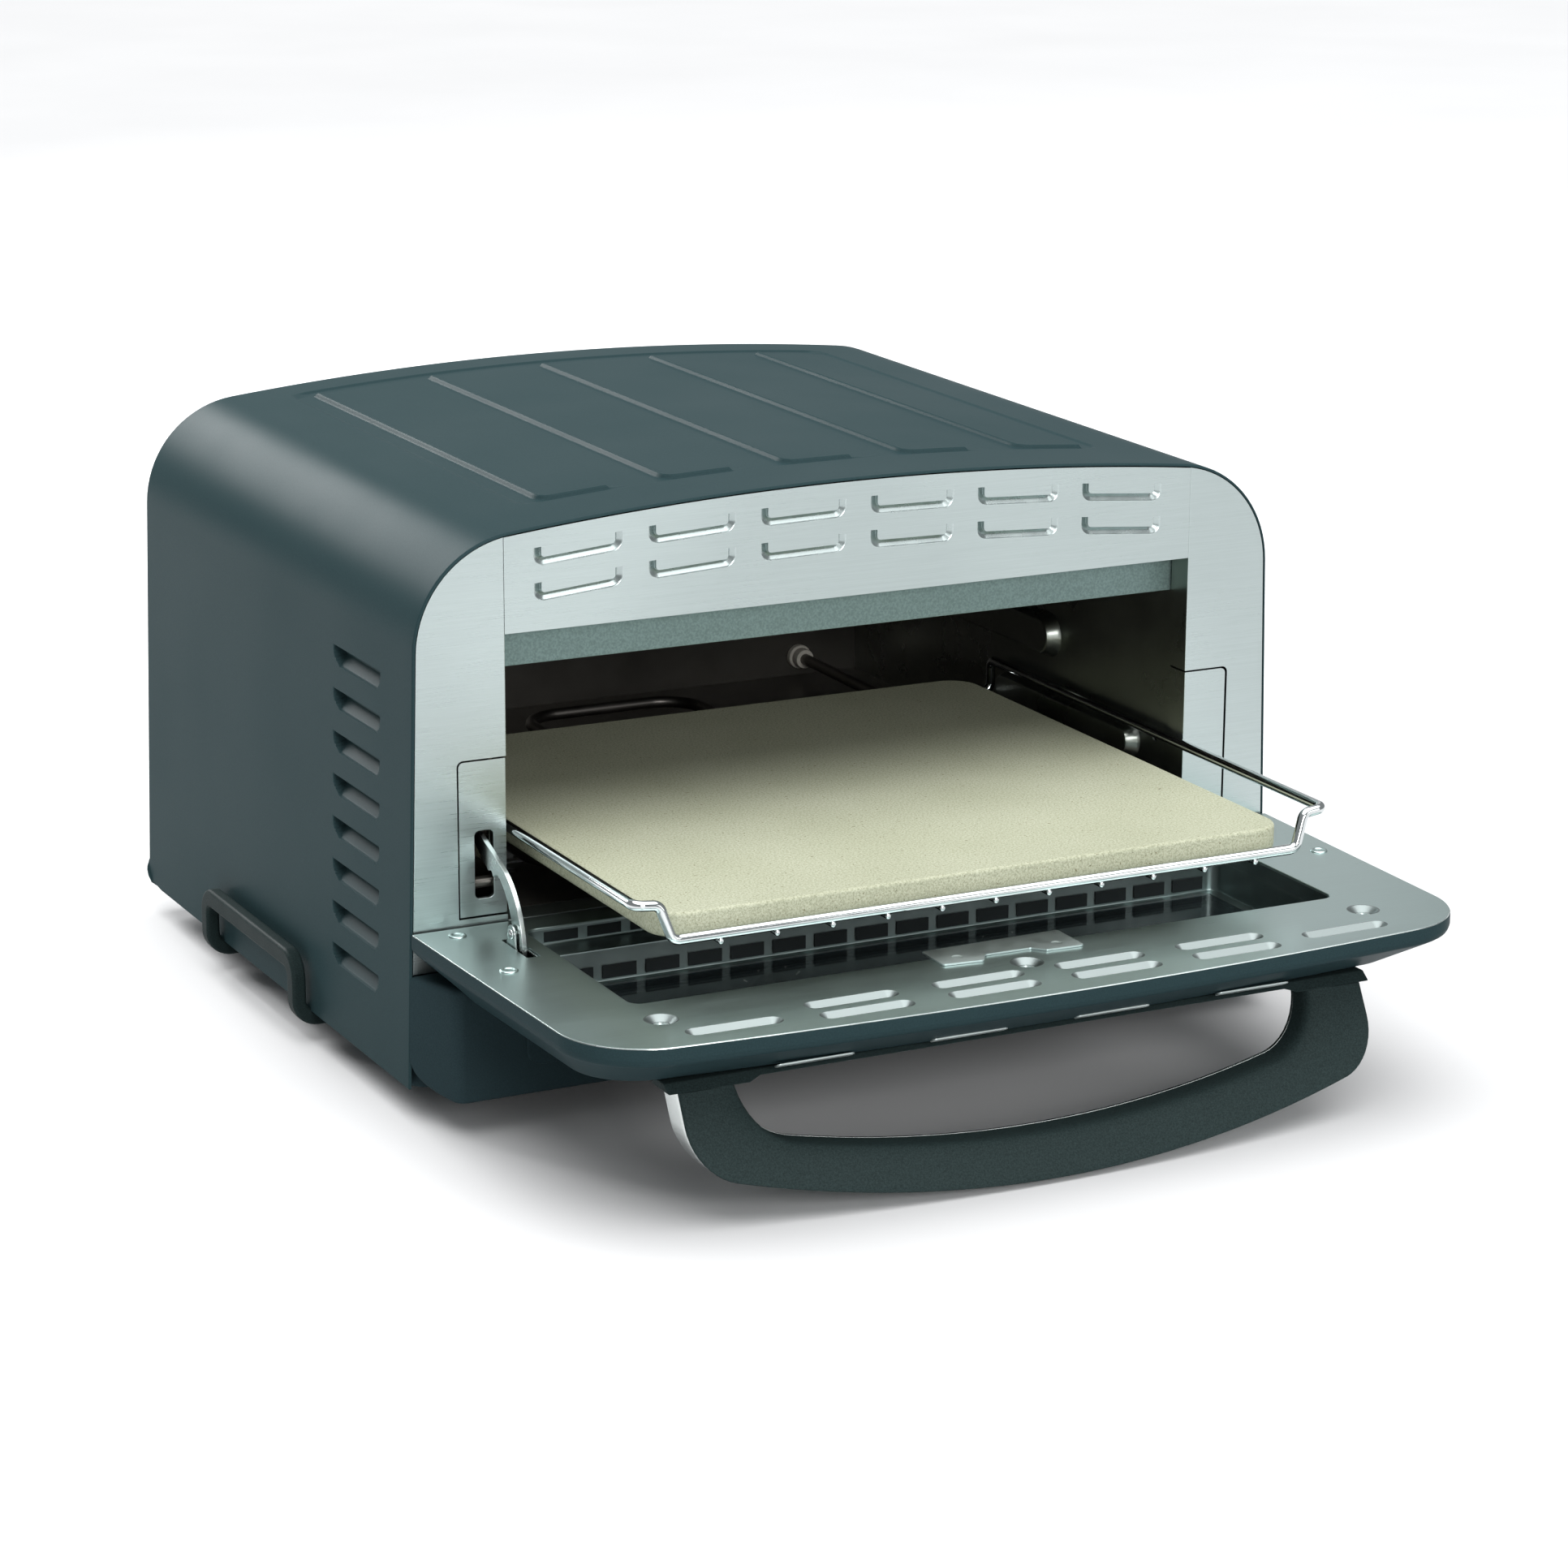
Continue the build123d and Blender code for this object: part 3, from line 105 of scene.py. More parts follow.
def ramp(tree, fac, stops):
    """Colour ramp over fac. stops are (position, colour)."""
    node = tree.nodes.new("ShaderNodeValToRGB")
    elements = node.color_ramp.elements
    while len(elements) < len(stops):
        elements.new(0.5)
    for element, (position, colour) in zip(elements, stops):
        element.position = position
        element.color = (*colour, 1) if len(colour) == 3 else colour
    link(tree, fac, node.inputs["Fac"])
    return node.outputs["Color"]


def grey(tree, fac, low, high, start=0.3, end=0.7):
    """Number that runs from low to high with fac."""
    node = tree.nodes.new("ShaderNodeMapRange")
    node.inputs["From Min"].default_value = start
    node.inputs["From Max"].default_value = end
    node.inputs["To Min"].default_value = low
    node.inputs["To Max"].default_value = high
    link(tree, fac, node.inputs["Value"])
    return node.outputs["Result"]


def roughness(tree, shader, fac, low, high, start=0.3, end=0.7):
    """Roughness that runs from low to high with fac."""
    link(tree, grey(tree, fac, low, high, start, end), shader.inputs["Roughness"])


def bump(tree, shader, height, distance, strength):
    """Fine relief. distance is its full height in metres."""
    node = tree.nodes.new("ShaderNodeBump")
    node.inputs["Distance"].default_value = distance
    node.inputs["Strength"].default_value = strength
    link(tree, height, node.inputs["Height"])
    link(tree, node.outputs["Normal"], shader.inputs["Normal"])


def multiplied(tree, a, b):
    """Two colours multiplied."""
    mix = tree.nodes.new("ShaderNodeMix")
    mix.data_type = "RGBA"
    mix.blend_type = "MULTIPLY"
    mix.inputs[0].default_value = 1.0
    link(tree, a, mix.inputs[6])
    link(tree, b, mix.inputs[7])
    return mix.outputs[2]


def tint(colour, factor):
    return tuple(min(1.0, c * factor) for c in colour)


def two_tones(tree, fac, colour, low, high, start=0.3, end=0.7):
    """One colour that runs from darker to lighter with fac."""
    return ramp(tree, fac, ((start, tint(colour, low)), (end, tint(colour, high))))


def paint(name, colour, rough=0.42, metallic=0.25, grain=1500.0, sparkle=0.08):
    """Powder-coated sheet: fine even grain and slight cloudiness."""
    mat, tree, shader = new_material(name)
    fine = noise(tree, grain, 2.0)
    cloud = noise(tree, 9.0, 2.0)
    base = two_tones(tree, fine, colour, 1 - sparkle, 1 + sparkle, 0.35, 0.65)
    link(tree, base, shader.inputs["Base Color"])
    roughness(tree, shader, cloud, rough - 0.03, rough + 0.04)
    shader.inputs["Metallic"].default_value = metallic
    shader.inputs["IOR"].default_value = 1.06
    bump(tree, shader, fine, 0.00004, 0.35)
    return mat


def brushed(name, colour, rough=0.30, stretch=(0.012, 1, 1), scale=2600.0, depth=0.000005, contrast=0.05):
    """Brushed sheet: streaks along the axis with the small stretch, faint handling marks, and broad patches
    of painted reflection in its colour.
    """
    mat, tree, shader = new_material(name)
    streak = noise(tree, scale, 3.0, stretch, 0.65)
    marks = noise(tree, 14.0, 4.0)
    base = two_tones(tree, streak, colour, 1 - contrast, 1 + contrast)
    # broad lighter and darker patches in the base colour: painted reflection
    painted_reflection = ramp(tree, noise(tree, 5.5, 1.0), ((0.35, (0.86, 0.86, 0.86)), (0.65, (1.0, 1.0, 1.0))))
    link(tree, multiplied(tree, base, painted_reflection), shader.inputs["Base Color"])
    mix = tree.nodes.new("ShaderNodeMath")
    mix.operation = "ADD"
    link(tree, grey(tree, streak, rough - 0.035, rough + 0.035), mix.inputs[0])
    link(tree, grey(tree, marks, -0.02, 0.03), mix.inputs[1])
    link(tree, mix.outputs[0], shader.inputs["Roughness"])
    shader.inputs["Metallic"].default_value = 1.0
    bump(tree, shader, streak, depth, 0.35)
    return mat


def metal(name, colour, rough=0.15, scale=60.0, spread=0.05, depth=0.00001):
    """Plated or bare metal with faint smears in its gloss."""
    mat, tree, shader = new_material(name)
    smear = noise(tree, scale, 4.0)
    fine = noise(tree, 900.0, 3.0)
    link(tree, two_tones(tree, smear, colour, 0.92, 1.05), shader.inputs["Base Color"])
    roughness(tree, shader, smear, rough - spread, rough + spread)
    shader.inputs["Metallic"].default_value = 1.0
    bump(tree, shader, fine, depth, 0.3)
    return mat


def plastic(name, colour, rough=0.5, grain=1300.0, depth=0.00012, speckle=0.25):
    """Moulded plastic with a leather-fine grain."""
    mat, tree, shader = new_material(name)
    grit = noise(tree, grain, 2.0, rough=0.7)
    worn = noise(tree, 22.0, 3.0)
    base = two_tones(tree, grit, colour, 1 - speckle, 1 + speckle, 0.34, 0.66)
    link(tree, base, shader.inputs["Base Color"])
    roughness(tree, shader, worn, rough - 0.05, rough + 0.05)
    shader.inputs["IOR"].default_value = 1.12
    bump(tree, shader, grit, depth, 0.5)
    return mat


def stoneware(name):
    """Cream cordierite: pale skin, sandy grain and a few dark specks."""
    mat, tree, shader = new_material(name)
    sand = noise(tree, 950.0, 4.0, rough=0.75)
    cloud = noise(tree, 16.0, 4.0)
    specks = noise(tree, 620.0, 1.0)
    skin = ramp(tree, cloud, ((0.3, (0.400, 0.412, 0.300)), (0.7, (0.440, 0.452, 0.340))))
    grain = ramp(tree, sand, ((0.38, (0.66, 0.67, 0.62)), (0.58, (1.06, 1.06, 1.06))))
    dots = ramp(tree, specks, ((0.22, (0.45, 0.40, 0.30)), (0.30, (1.0, 1.0, 1.0))))
    link(tree, multiplied(tree, multiplied(tree, skin, grain), dots), shader.inputs["Base Color"])
    roughness(tree, shader, sand, 0.78, 0.92)
    bump(tree, shader, sand, 0.00035, 0.7)
    return mat


def enamel(name, colour=(0.030, 0.028, 0.026), rough=0.30):
    """Dark oven lining, with brownish heat stains."""
    mat, tree, shader = new_material(name)
    stain = noise(tree, 7.0, 5.0)
    fine = noise(tree, 700.0, 2.0)
    link(tree, two_tones(tree, stain, colour, 0.7, 1.5), shader.inputs["Base Color"])
    roughness(tree, shader, stain, rough - 0.06, rough + 0.12)
    shader.inputs["Metallic"].default_value = 0.75
    bump(tree, shader, fine, 0.00002, 0.4)
    return mat


def zinc(name):
    """Zinc-coated sheet with its spangle."""
    mat, tree, shader = new_material(name)
    coords = tree.nodes.new("ShaderNodeTexCoord")
    cells = tree.nodes.new("ShaderNodeTexVoronoi")
    cells.inputs["Scale"].default_value = 140.0
    link(tree, coords.outputs["Object"], cells.inputs["Vector"])
    tone = tree.nodes.new("ShaderNodeSeparateColor")
    link(tree, cells.outputs["Color"], tone.inputs["Color"])
    link(tree, ramp(tree, tone.outputs[0], ((0.0, (0.36, 0.37, 0.37)), (1.0, (0.50, 0.51, 0.51)))),
         shader.inputs["Base Color"])
    roughness(tree, shader, tone.outputs[1], 0.34, 0.46, 0.0, 1.0)
    shader.inputs["Metallic"].default_value = 0.9
    return mat


def dark_glass(name):
    """Tinted window, faintly smeared."""
    mat, tree, shader = new_material(name)
    smear = noise(tree, 11.0, 5.0, (1, 2.5, 1))
    link(tree, ramp(tree, smear, ((0.35, (0.012, 0.017, 0.018)), (0.75, (0.022, 0.029, 0.030)))),
         shader.inputs["Base Color"])
    roughness(tree, shader, smear, 0.03, 0.10)
    shader.inputs["IOR"].default_value = 1.52
    shader.inputs["Alpha"].default_value = 0.60
    return mat


def lens(name, colour):
    """Clear-coated coloured plastic."""
    mat, tree, shader = new_material(name)
    tone = noise(tree, 400.0, 2.0)
    link(tree, two_tones(tree, tone, colour, 0.8, 1.0), shader.inputs["Base Color"])
    shader.inputs["Roughness"].default_value = 0.12
    shader.inputs["Coat Weight"].default_value = 0.6
    return mat


MAT = {
    "housing": paint("housing_paint", (0.022, 0.042, 0.046), 0.33, 0.0),
    "shell": paint("door_shell_paint", (0.019, 0.036, 0.040), 0.36, 0.0),
    "rail": paint("rail_paint", (0.150, 0.210, 0.203), 0.44, 0.45, 900.0, 0.14),
    "base": paint("base_paint", (0.022, 0.038, 0.043), 0.40, 0.0),
    "fascia": brushed("fascia_steel", (0.47, 0.535, 0.53), 0.30),
    "panel": brushed("panel_steel", (0.52, 0.635, 0.62), 0.32, contrast=0.05),
    "satin": metal("satin_steel", (0.56, 0.63, 0.62), 0.45),
    # darker copy of the panel steel for the door sheet's slots and countersinks: painted shade in the
    # pressings
    "recess": metal("recess_shade_steel", (0.225, 0.258, 0.255), 0.42),
    "groove": metal("groove_steel", (0.43, 0.49, 0.485), 0.26),
    "channel": metal("channel_steel", (0.26, 0.32, 0.315), 0.35),
    # cavity lining steel; the pillar and insert returns at the mouth also take it as painted shade
    "liner": metal("cavity_liner_and_fold_shade", (0.34, 0.365, 0.335), 0.30, 30.0, 0.06),
    # near-black sheet for the window channel's vents: painted shade in their openings
    "void": enamel("vent_shadow", (0.020, 0.025, 0.026), 0.5),
    "band": brushed("band_steel", (0.66, 0.70, 0.69), 0.24),
    "bright": metal("bright_steel", (0.60, 0.65, 0.64), 0.24),
    "chrome": metal("wire_chrome", (0.64, 0.67, 0.67), 0.12),
    "cavity": enamel("cavity_enamel", (0.095, 0.089, 0.080)),
    "element": metal("element_sheath", (0.16, 0.15, 0.14), 0.40, 40.0, 0.10),
    "stone": stoneware("stone_cordierite"),
    "grip": plastic("grip_plastic", (0.020, 0.031, 0.031), 0.50),
    "carry": plastic("carry_plastic", (0.014, 0.023, 0.023), 0.50, 1500.0),
    "knob": plastic("knob_plastic", (0.022, 0.028, 0.029), 0.42, 1600.0, 0.00006),
    "control": plastic("control_plastic", (0.33, 0.32, 0.29), 0.55),
    "rubber": plastic("foot_rubber", (0.018, 0.018, 0.018), 0.75, 700.0, 0.0002),
    "zinc": zinc("zinc_sheet"),
    "glass": dark_glass("window_glass"),
    "lens": lens("lens_red", (0.50, 0.07, 0.04)),
    "mark": plastic("mark_white", (0.62, 0.64, 0.62), 0.45, 900.0, 0.00002, 0.04),
    "ceramic": plastic("bushing_ceramic", (0.66, 0.63, 0.56), 0.60, 500.0, 0.00008, 0.08),
    "wool": plastic("mineral_wool", (0.52, 0.47, 0.36), 0.92, 240.0, 0.0012, 0.3),
}


# ------------------------------------------------------------------ mesh helpers
def to_frame(x, y, z):
    """A point in mm, with y from the housing's front edge, as a point in the row frame."""
    return (x / 1000, y / 1000 + FRONT_Y, z / 1000)


def add_bevel(obj, width, segments=3, angle=35.0):
    """Rounds the sharp edges of a piece, in mm."""
    mod = obj.modifiers.new("edges", "BEVEL")
    mod.width = width / 1000
    mod.segments = segments
    mod.limit_method = "ANGLE"
    mod.angle_limit = radians(angle)
    return mod


def add_flat_normals(obj):
    """Keeps flat faces flat beside their rounded edges."""
    mod = obj.modifiers.new("normals", "WEIGHTED_NORMAL")
    mod.keep_sharp = True


def object_from(name, bm, material, body, replaces=(), smooth=35.0, thick=0.0, edge=0.0,
                segments=3):
    """Turns a bmesh in mm into a piece that rides on a body. thick is the sheet's thickness inwards."""
    for v in bm.verts:
        v.co = to_frame(*v.co)
    mesh = bpy.data.meshes.new(name)
    bm.normal_update()
    bm.to_mesh(mesh)
    bm.free()
    obj = bpy.data.objects.new(name, mesh)
    bpy.context.scene.collection.objects.link(obj)
    for mat in material if isinstance(material, (list, tuple)) else (material,):
        mesh.materials.append(MAT[mat])
    if thick:
        mod = obj.modifiers.new("sheet", "SOLIDIFY")
        mod.thickness = thick / 1000
        mod.offset = -1.0
    if edge:
        add_bevel(obj, edge, segments)
    if obj.modifiers:
        bpy.context.view_layer.update()
        made = bpy.data.meshes.new_from_object(obj.evaluated_get(bpy.context.evaluated_depsgraph_get()))
        obj.modifiers.clear()
        obj.data = made
        bpy.data.meshes.remove(mesh)
        made.name = name
    obj.data.polygons.foreach_set("use_smooth", [True] * len(obj.data.polygons))
    obj.data.set_sharp_from_angle(angle=radians(smooth))
    add_flat_normals(obj)
    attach(obj, body)
    if replaces:
        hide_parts(*replaces)
    return obj


def spaced(a, b, step):
    """Positions from a to b about one step apart."""
    count = max(1, round(abs(b - a) / step))
    return [a + (b - a) * i / count for i in range(count + 1)]


def merged(values, tol=0.05):
    """Sorted positions without near repeats."""
    out = []
    for v in sorted(values):
        if not out or v - out[-1] > tol:
            out.append(v)
    return out


def grid(bm, points):
    """Quads over a table of points."""
    loft(bm, [ring(bm, row) for row in points], closed=False, caps=False)


def bridge(bm, a, b, closed=True):
    """Quads between two rings of the same length."""
    n = len(a)
    for i in range(n if closed else n - 1):
        j = (i + 1) % n
        bm.faces.new((a[i], a[j], b[j], b[i]))


def loft(bm, rows, closed=True, caps=True):
    """Joins a row of rings, and closes both ends with a face."""
    for a, b in zip(rows, rows[1:]):
        bridge(bm, a, b, closed)
    if caps:
        bm.faces.new(rows[0])
        bm.faces.new(rows[-1])


def ring(bm, points):
    """A row of vertices."""
    return [bm.verts.new(p) for p in points]


def rounded_rect(x0, x1, y0, y1, r, n=6):
    """Outline of a rounded rectangle, counter-clockwise."""
    out = []
    corners = ((x1 - r, y1 - r, 0), (x0 + r, y1 - r, 90), (x0 + r, y0 + r, 180), (x1 - r, y0 + r, 270))
    for cx, cy, start in corners:
        for i in range(n + 1):
            a = radians(start + 90 * i / n)
            out.append((cx + r * cos(a), cy + r * sin(a)))
    return out


def inset_rect(rect, inset, r, n=6):
    """Rounded rectangle (x0, x1, y0, y1) drawn in by inset all round; r is its radius before that."""
    x0, x1, y0, y1 = rect
    return rounded_rect(x0 + inset, x1 - inset, y0 + inset, y1 - inset, r - inset, n)


def circle(cx, cy, r, n=32):
    return [(cx + r * cos(2 * pi * i / n), cy + r * sin(2 * pi * i / n)) for i in range(n)]


def filled(outline, holes, place):
    """A flat sheet with holes. place turns (u, v, depth) into a point. Returns the bmesh and its holes."""
    bm = bmesh.new()
    rings = []
    edges = []
    for loop in [outline] + holes:
        verts = ring(bm, [place(u, v, 0.0) for u, v in loop])
        rings.append(verts)
        edges += [bm.edges.new(pair) for pair in zip(verts, verts[1:] + verts[:1])]
    bmesh.ops.triangle_fill(bm, use_beauty=True, use_dissolve=False, edges=edges)
    return bm, rings[1:]


def dish(bm, start, levels, place, close=True, shade_material_index=0):
    """Continues a hole's ring through deeper rings, given as (outline, depth), and closes the last. A nonzero
    last argument gives the new faces the piece's second material, here the darker steel of painted shade.
    """
    last = start
    before = set(bm.faces)
    for outline, depth in levels:
        nxt = ring(bm, [place(u, v, depth) for u, v in outline])
        bridge(bm, last, nxt)
        last = nxt
    if close:
        bm.faces.new(last)
    if shade_material_index:
        for face in set(bm.faces) - before:
            face.material_index = shade_material_index


def face_outward(bm, direction=None):
    """Makes normals consistent, or turns an open sheet so that it faces a direction."""
    bmesh.ops.recalc_face_normals(bm, faces=bm.faces[:])
    if direction is not None:
        bm.normal_update()
        total = sum((f.normal * f.calc_area() for f in bm.faces), Vector())
        if total.dot(Vector(direction)) < 0:
            bmesh.ops.reverse_faces(bm, faces=bm.faces[:])


def filleted(points, radius, n=8, closed=False):
    """A path through 3-D points with rounded corners. radius is one number or one per point."""
    pts = [Vector(p) for p in points]
    radii = radius if isinstance(radius, (list, tuple)) else [radius] * len(pts)
    out = []
    count = len(pts)
    for i, p in enumerate(pts):
        if not closed and i in (0, count - 1):
            out.append(p)
            continue
        a = (pts[i - 1] - p)
        b = (pts[(i + 1) % count] - p)
        la, lb = a.length, b.length
        a.normalize()
        b.normalize()
        half = a.angle(b) / 2
        cut = min(radii[i] / tan(half), la * 0.49, lb * 0.49) if half < pi / 2 - 0.01 else 0
        if cut < 1e-6:
            out.append(p)
            continue
        r = cut * tan(half)
        centre = p + (a + b).normalized() * (r / sin(half))
        v0 = p + a * cut - centre
        v1 = p + b * cut - centre
        sweep = v0.angle(v1)
        for k in range(n + 1):
            t = k / n
            out.append(centre + (v0 * sin((1 - t) * sweep) + v1 * sin(t * sweep)) / sin(sweep))
    return out


def tube(bm, path, r, sides=16, closed=False):
    """Sweeps a round wire along a path."""
    pts = [Vector(p) for p in path]
    count = len(pts)
    tangents = []
    for i in range(count):
        before = pts[i - 1] if (i or closed) else pts[i]
        after = pts[(i + 1) % count] if (i < count - 1 or closed) else pts[i]
        tangents.append((after - before).normalized())
    seed = Vector((0, 0, 1)) if abs(tangents[0].z) < 0.9 else Vector((1, 0, 0))
    u = tangents[0].cross(seed).normalized()
    rings = []
    for i in range(count):
        t = tangents[i]
        u = (u - t * u.dot(t)).normalized()
        w = t.cross(u)
        rings.append([bm.verts.new(pts[i] + (u * cos(2 * pi * k / sides) + w * sin(2 * pi * k / sides)) * r)
                      for k in range(sides)])
    for i in range(count if closed else count - 1):
        bridge(bm, rings[i], rings[(i + 1) % count])
    if closed:
        return
    for end, sign in ((0, -1), (-1, 1)):
        last = rings[end]
        centre = pts[end]
        for shrink, lift in ((0.92, 0.38), (0.70, 0.70), (0.38, 0.92)):
            out = tangents[end] * sign * r * lift * 0.6
            nxt = [bm.verts.new(centre + (v.co - centre) * shrink + out) for v in rings[end]]
            bridge(bm, last, nxt)
            last = nxt
        bm.faces.new(last)


def lathe(bm, centre, profile, axis="Z", n=32, flutes=0, cut=0.0, fluted=()):
    """Turns a profile of (radius, height) round an axis through centre. fluted: the rings cut by flutes."""
    cx, cy, cz = centre
    last = None
    for k, (r, h) in enumerate(profile):
        points = []
        for i in range(n):
            a = 2 * pi * i / n
            rr = r - cut * (0.5 - 0.5 * cos(flutes * a)) if k in fluted else r
            u, v = rr * cos(a), rr * sin(a)
            points.append({"Z": (cx + u, cy + v, cz + h), "Y": (cx + u, cy + h, cz + v),
                           "X": (cx + h, cy + u, cz + v)}[axis])
        nxt = ring(bm, points)
        if last:
            bridge(bm, last, nxt)
        else:
            bm.faces.new(nxt)
        last = nxt
    bm.faces.new(last)
    return bm


def box_shape(bm, x0, x1, y0, y1, z0, z1):
    corners = ((x0, y0), (x1, y0), (x1, y1), (x0, y1))
    verts = [bm.verts.new((x, y, z)) for z in (z0, z1) for x, y in corners]
    for face in ((3, 2, 1, 0), (4, 5, 6, 7), (0, 1, 5, 4), (1, 2, 6, 5), (2, 3, 7, 6), (3, 0, 4, 7)):
        bm.faces.new([verts[i] for i in face])


def strap(bm, path, profile, side):
    """Sweeps a flat section along a path. side is the section's first axis at the start."""
    pts = [Vector(p) for p in path]
    u = Vector(side)
    rows = []
    for i, p in enumerate(pts):
        t = (pts[min(i + 1, len(pts) - 1)] - pts[max(i - 1, 0)]).normalized()
        u = (u - t * u.dot(t)).normalized()
        w = t.cross(u)
        rows.append(ring(bm, [tuple(p + u * a + w * b) for a, b in profile]))
    loft(bm, rows)


def plate(bm, outline, place, levels):
    """A solid plate. outline gives its edge for an inset; levels are (inset, depth)."""
    loft(bm, [ring(bm, [place(u, v, depth) for u, v in outline(inset)]) for inset, depth in levels])


def keep(node, material, width=0.0, angle=35.0, segments=2):
    """Shows a CAD node with a material of its own and softened edges."""
    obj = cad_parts[node]
    obj.data.materials.clear()
    obj.data.materials.append(MAT[material])
    if width:
        weld = obj.modifiers.new("weld", "WELD")
        weld.merge_threshold = 0.000005
        add_bevel(obj, width, segments, angle).harden_normals = True
    return obj


# ------------------------------------------------------------------ outer housing
LOUVRE_TOPS = [209.6 - 21.24 * i for i in range(8)]
LOUVRE_H = 9.6
LOUVRE_DEPTH = 5.6
RIB_XS = [-145.5 + 65.0 * i for i in range(5)]
RIB_FRONT = 47.5
RIB_REAR = 340.0
RIB_HOOK = 33.0
RIB_BEND = 7.0
FIELD_X = 159.0
FIELD_Y0 = 41.0
FIELD_Y1 = 352.0


def section():
    """The wrap's section from the left foot to the right foot: (x, z, nx, nz) in steps."""
    lean = Vector((1, DRAFT)).normalized()
    side0 = Vector((half_w(0), 0)) - lean * CORNER_R
    up = Vector((-lean.y, lean.x))
    roof_c = Vector((0, PEAK_Z - ROOF_R))
    rel = side0 - roof_c
    b = rel.dot(up)
    t = -b + sqrt(b * b - rel.dot(rel) + (ROOF_R - CORNER_R) ** 2)
    centre = side0 + up * t
    z_tan = (centre + lean * CORNER_R).y
    zs = [WRAP_LOW, WRAP_LOW + 0.6, 30.0, 45.0] + spaced(215.0, z_tan, 12.0)
    for top in LOUVRE_TOPS:
        zs += [top + d for d in (1.2, 0.4, 0.0, -0.5, -1.4, -2.8, -4.5, -6.2, -7.4, -8.0, -8.3, -8.6, -8.9,
                                 -9.2, -9.6, -10.2, -14.0)]
    side = [(half_w(z), z, lean.x, lean.y) for z in merged(zs, 0.15)]
    a0 = atan2(lean.y, lean.x)
    top_dir = (centre - roof_c).normalized()
    a1 = atan2(top_dir.y, top_dir.x)
    corner = []
    for i in range(1, 19):
        a = a0 + (a1 - a0) * i / 18
        corner.append((centre.x + CORNER_R * cos(a), centre.y + CORNER_R * sin(a), cos(a), sin(a)))
    x_end = corner[-1][0]
    xs = spaced(0, x_end - 4, 9.0)
    for x in RIB_XS:
        xs += [abs(x + d) for d in (-3.2, -2.4, -1.9, -1.4, -0.9, -0.4, 0.4, 0.9, 1.4, 1.9, 2.4, 3.2)]
        xs += [abs(x + d) for d in (4.6, 6.0, 7.5)]
        xs += [abs(x + RIB_HOOK + d) for d in (-2, -1, 0, 1, 2)]
    xs += [FIELD_X + d for d in (-12, -9, -6, -4, -3, -2, -1.3, -0.6, 0, 0.6, 1.3, 2, 3)]
    roof = []
    for x in reversed(merged([x for x in xs if x < x_end - 1.5], 0.25)):
        nx = x / ROOF_R
        nz = sqrt(1 - nx * nx)
        roof.append((x, PEAK_Z - ROOF_R + ROOF_R * nz, nx, nz))
    right = side + corner + roof
    left = [(-x, z, -nx, nz) for x, z, nx, nz in right]
    centre_doubled = right[-1][0] < 1e-6
    return left + list(reversed(right[:-1] if centre_doubled else right))


def smooth01(t):
    t = min(1.0, max(0.0, t))
    return t * t * (3 - 2 * t)


def side_vents(y, z):
    """Depth of the pressed vents at a point of either side."""
    for top in LOUVRE_TOPS:
        down = top - z
        if -0.1 <= down <= LOUVRE_H + 0.1:
            t = down / LOUVRE_H
            rear = 99.6 - 8.6 * t ** 2.2
            front = 39.6 + 4.6 * t ** 2.2
            ends = min(y - front, rear - y) / 1.1
            flap = down / 1.6
            ledge = 0.12 * smooth01((LOUVRE_H - down) / 0.5) + 0.88 * (LOUVRE_H - down) / 5.0
            return -LOUVRE_DEPTH * min(smooth01(ends), min(1, max(0, flap)) ** 0.8, min(1, max(0, ledge)))
    return 0.0


def rib_distance(x, y, x0):
    """Distance from a roof point to one bead: a long straight run with a rounded hook to the right."""
    cx, cy = x0 + RIB_BEND, RIB_FRONT + RIB_BEND
    if x < cx and y < cy:
        return abs(hypot(x - cx, y - cy) - RIB_BEND)
    along = hypot(x - x0, y - min(max(y, cy), RIB_REAR))
    hook = hypot(y - RIB_FRONT, x - min(max(x, cx), x0 + RIB_HOOK))
    return min(along, hook)


def roof_relief(x, y):
    """Height of the pressed field's edge and of its beads."""
    r = 12.0
    dx = abs(x) - (FIELD_X - r)
    dy = max(FIELD_Y0 + r - y, y - (FIELD_Y1 - r))
    outside = hypot(max(dx, 0), max(dy, 0)) + min(max(dx, dy), 0) - r
    field = -0.9 * smooth01(-outside / 2.6)
    distance = min(rib_distance(x, y, x0) for x0 in RIB_XS)
    return field + 1.9 * smooth01(1 - max(0.0, distance - 0.3) / 2.5)


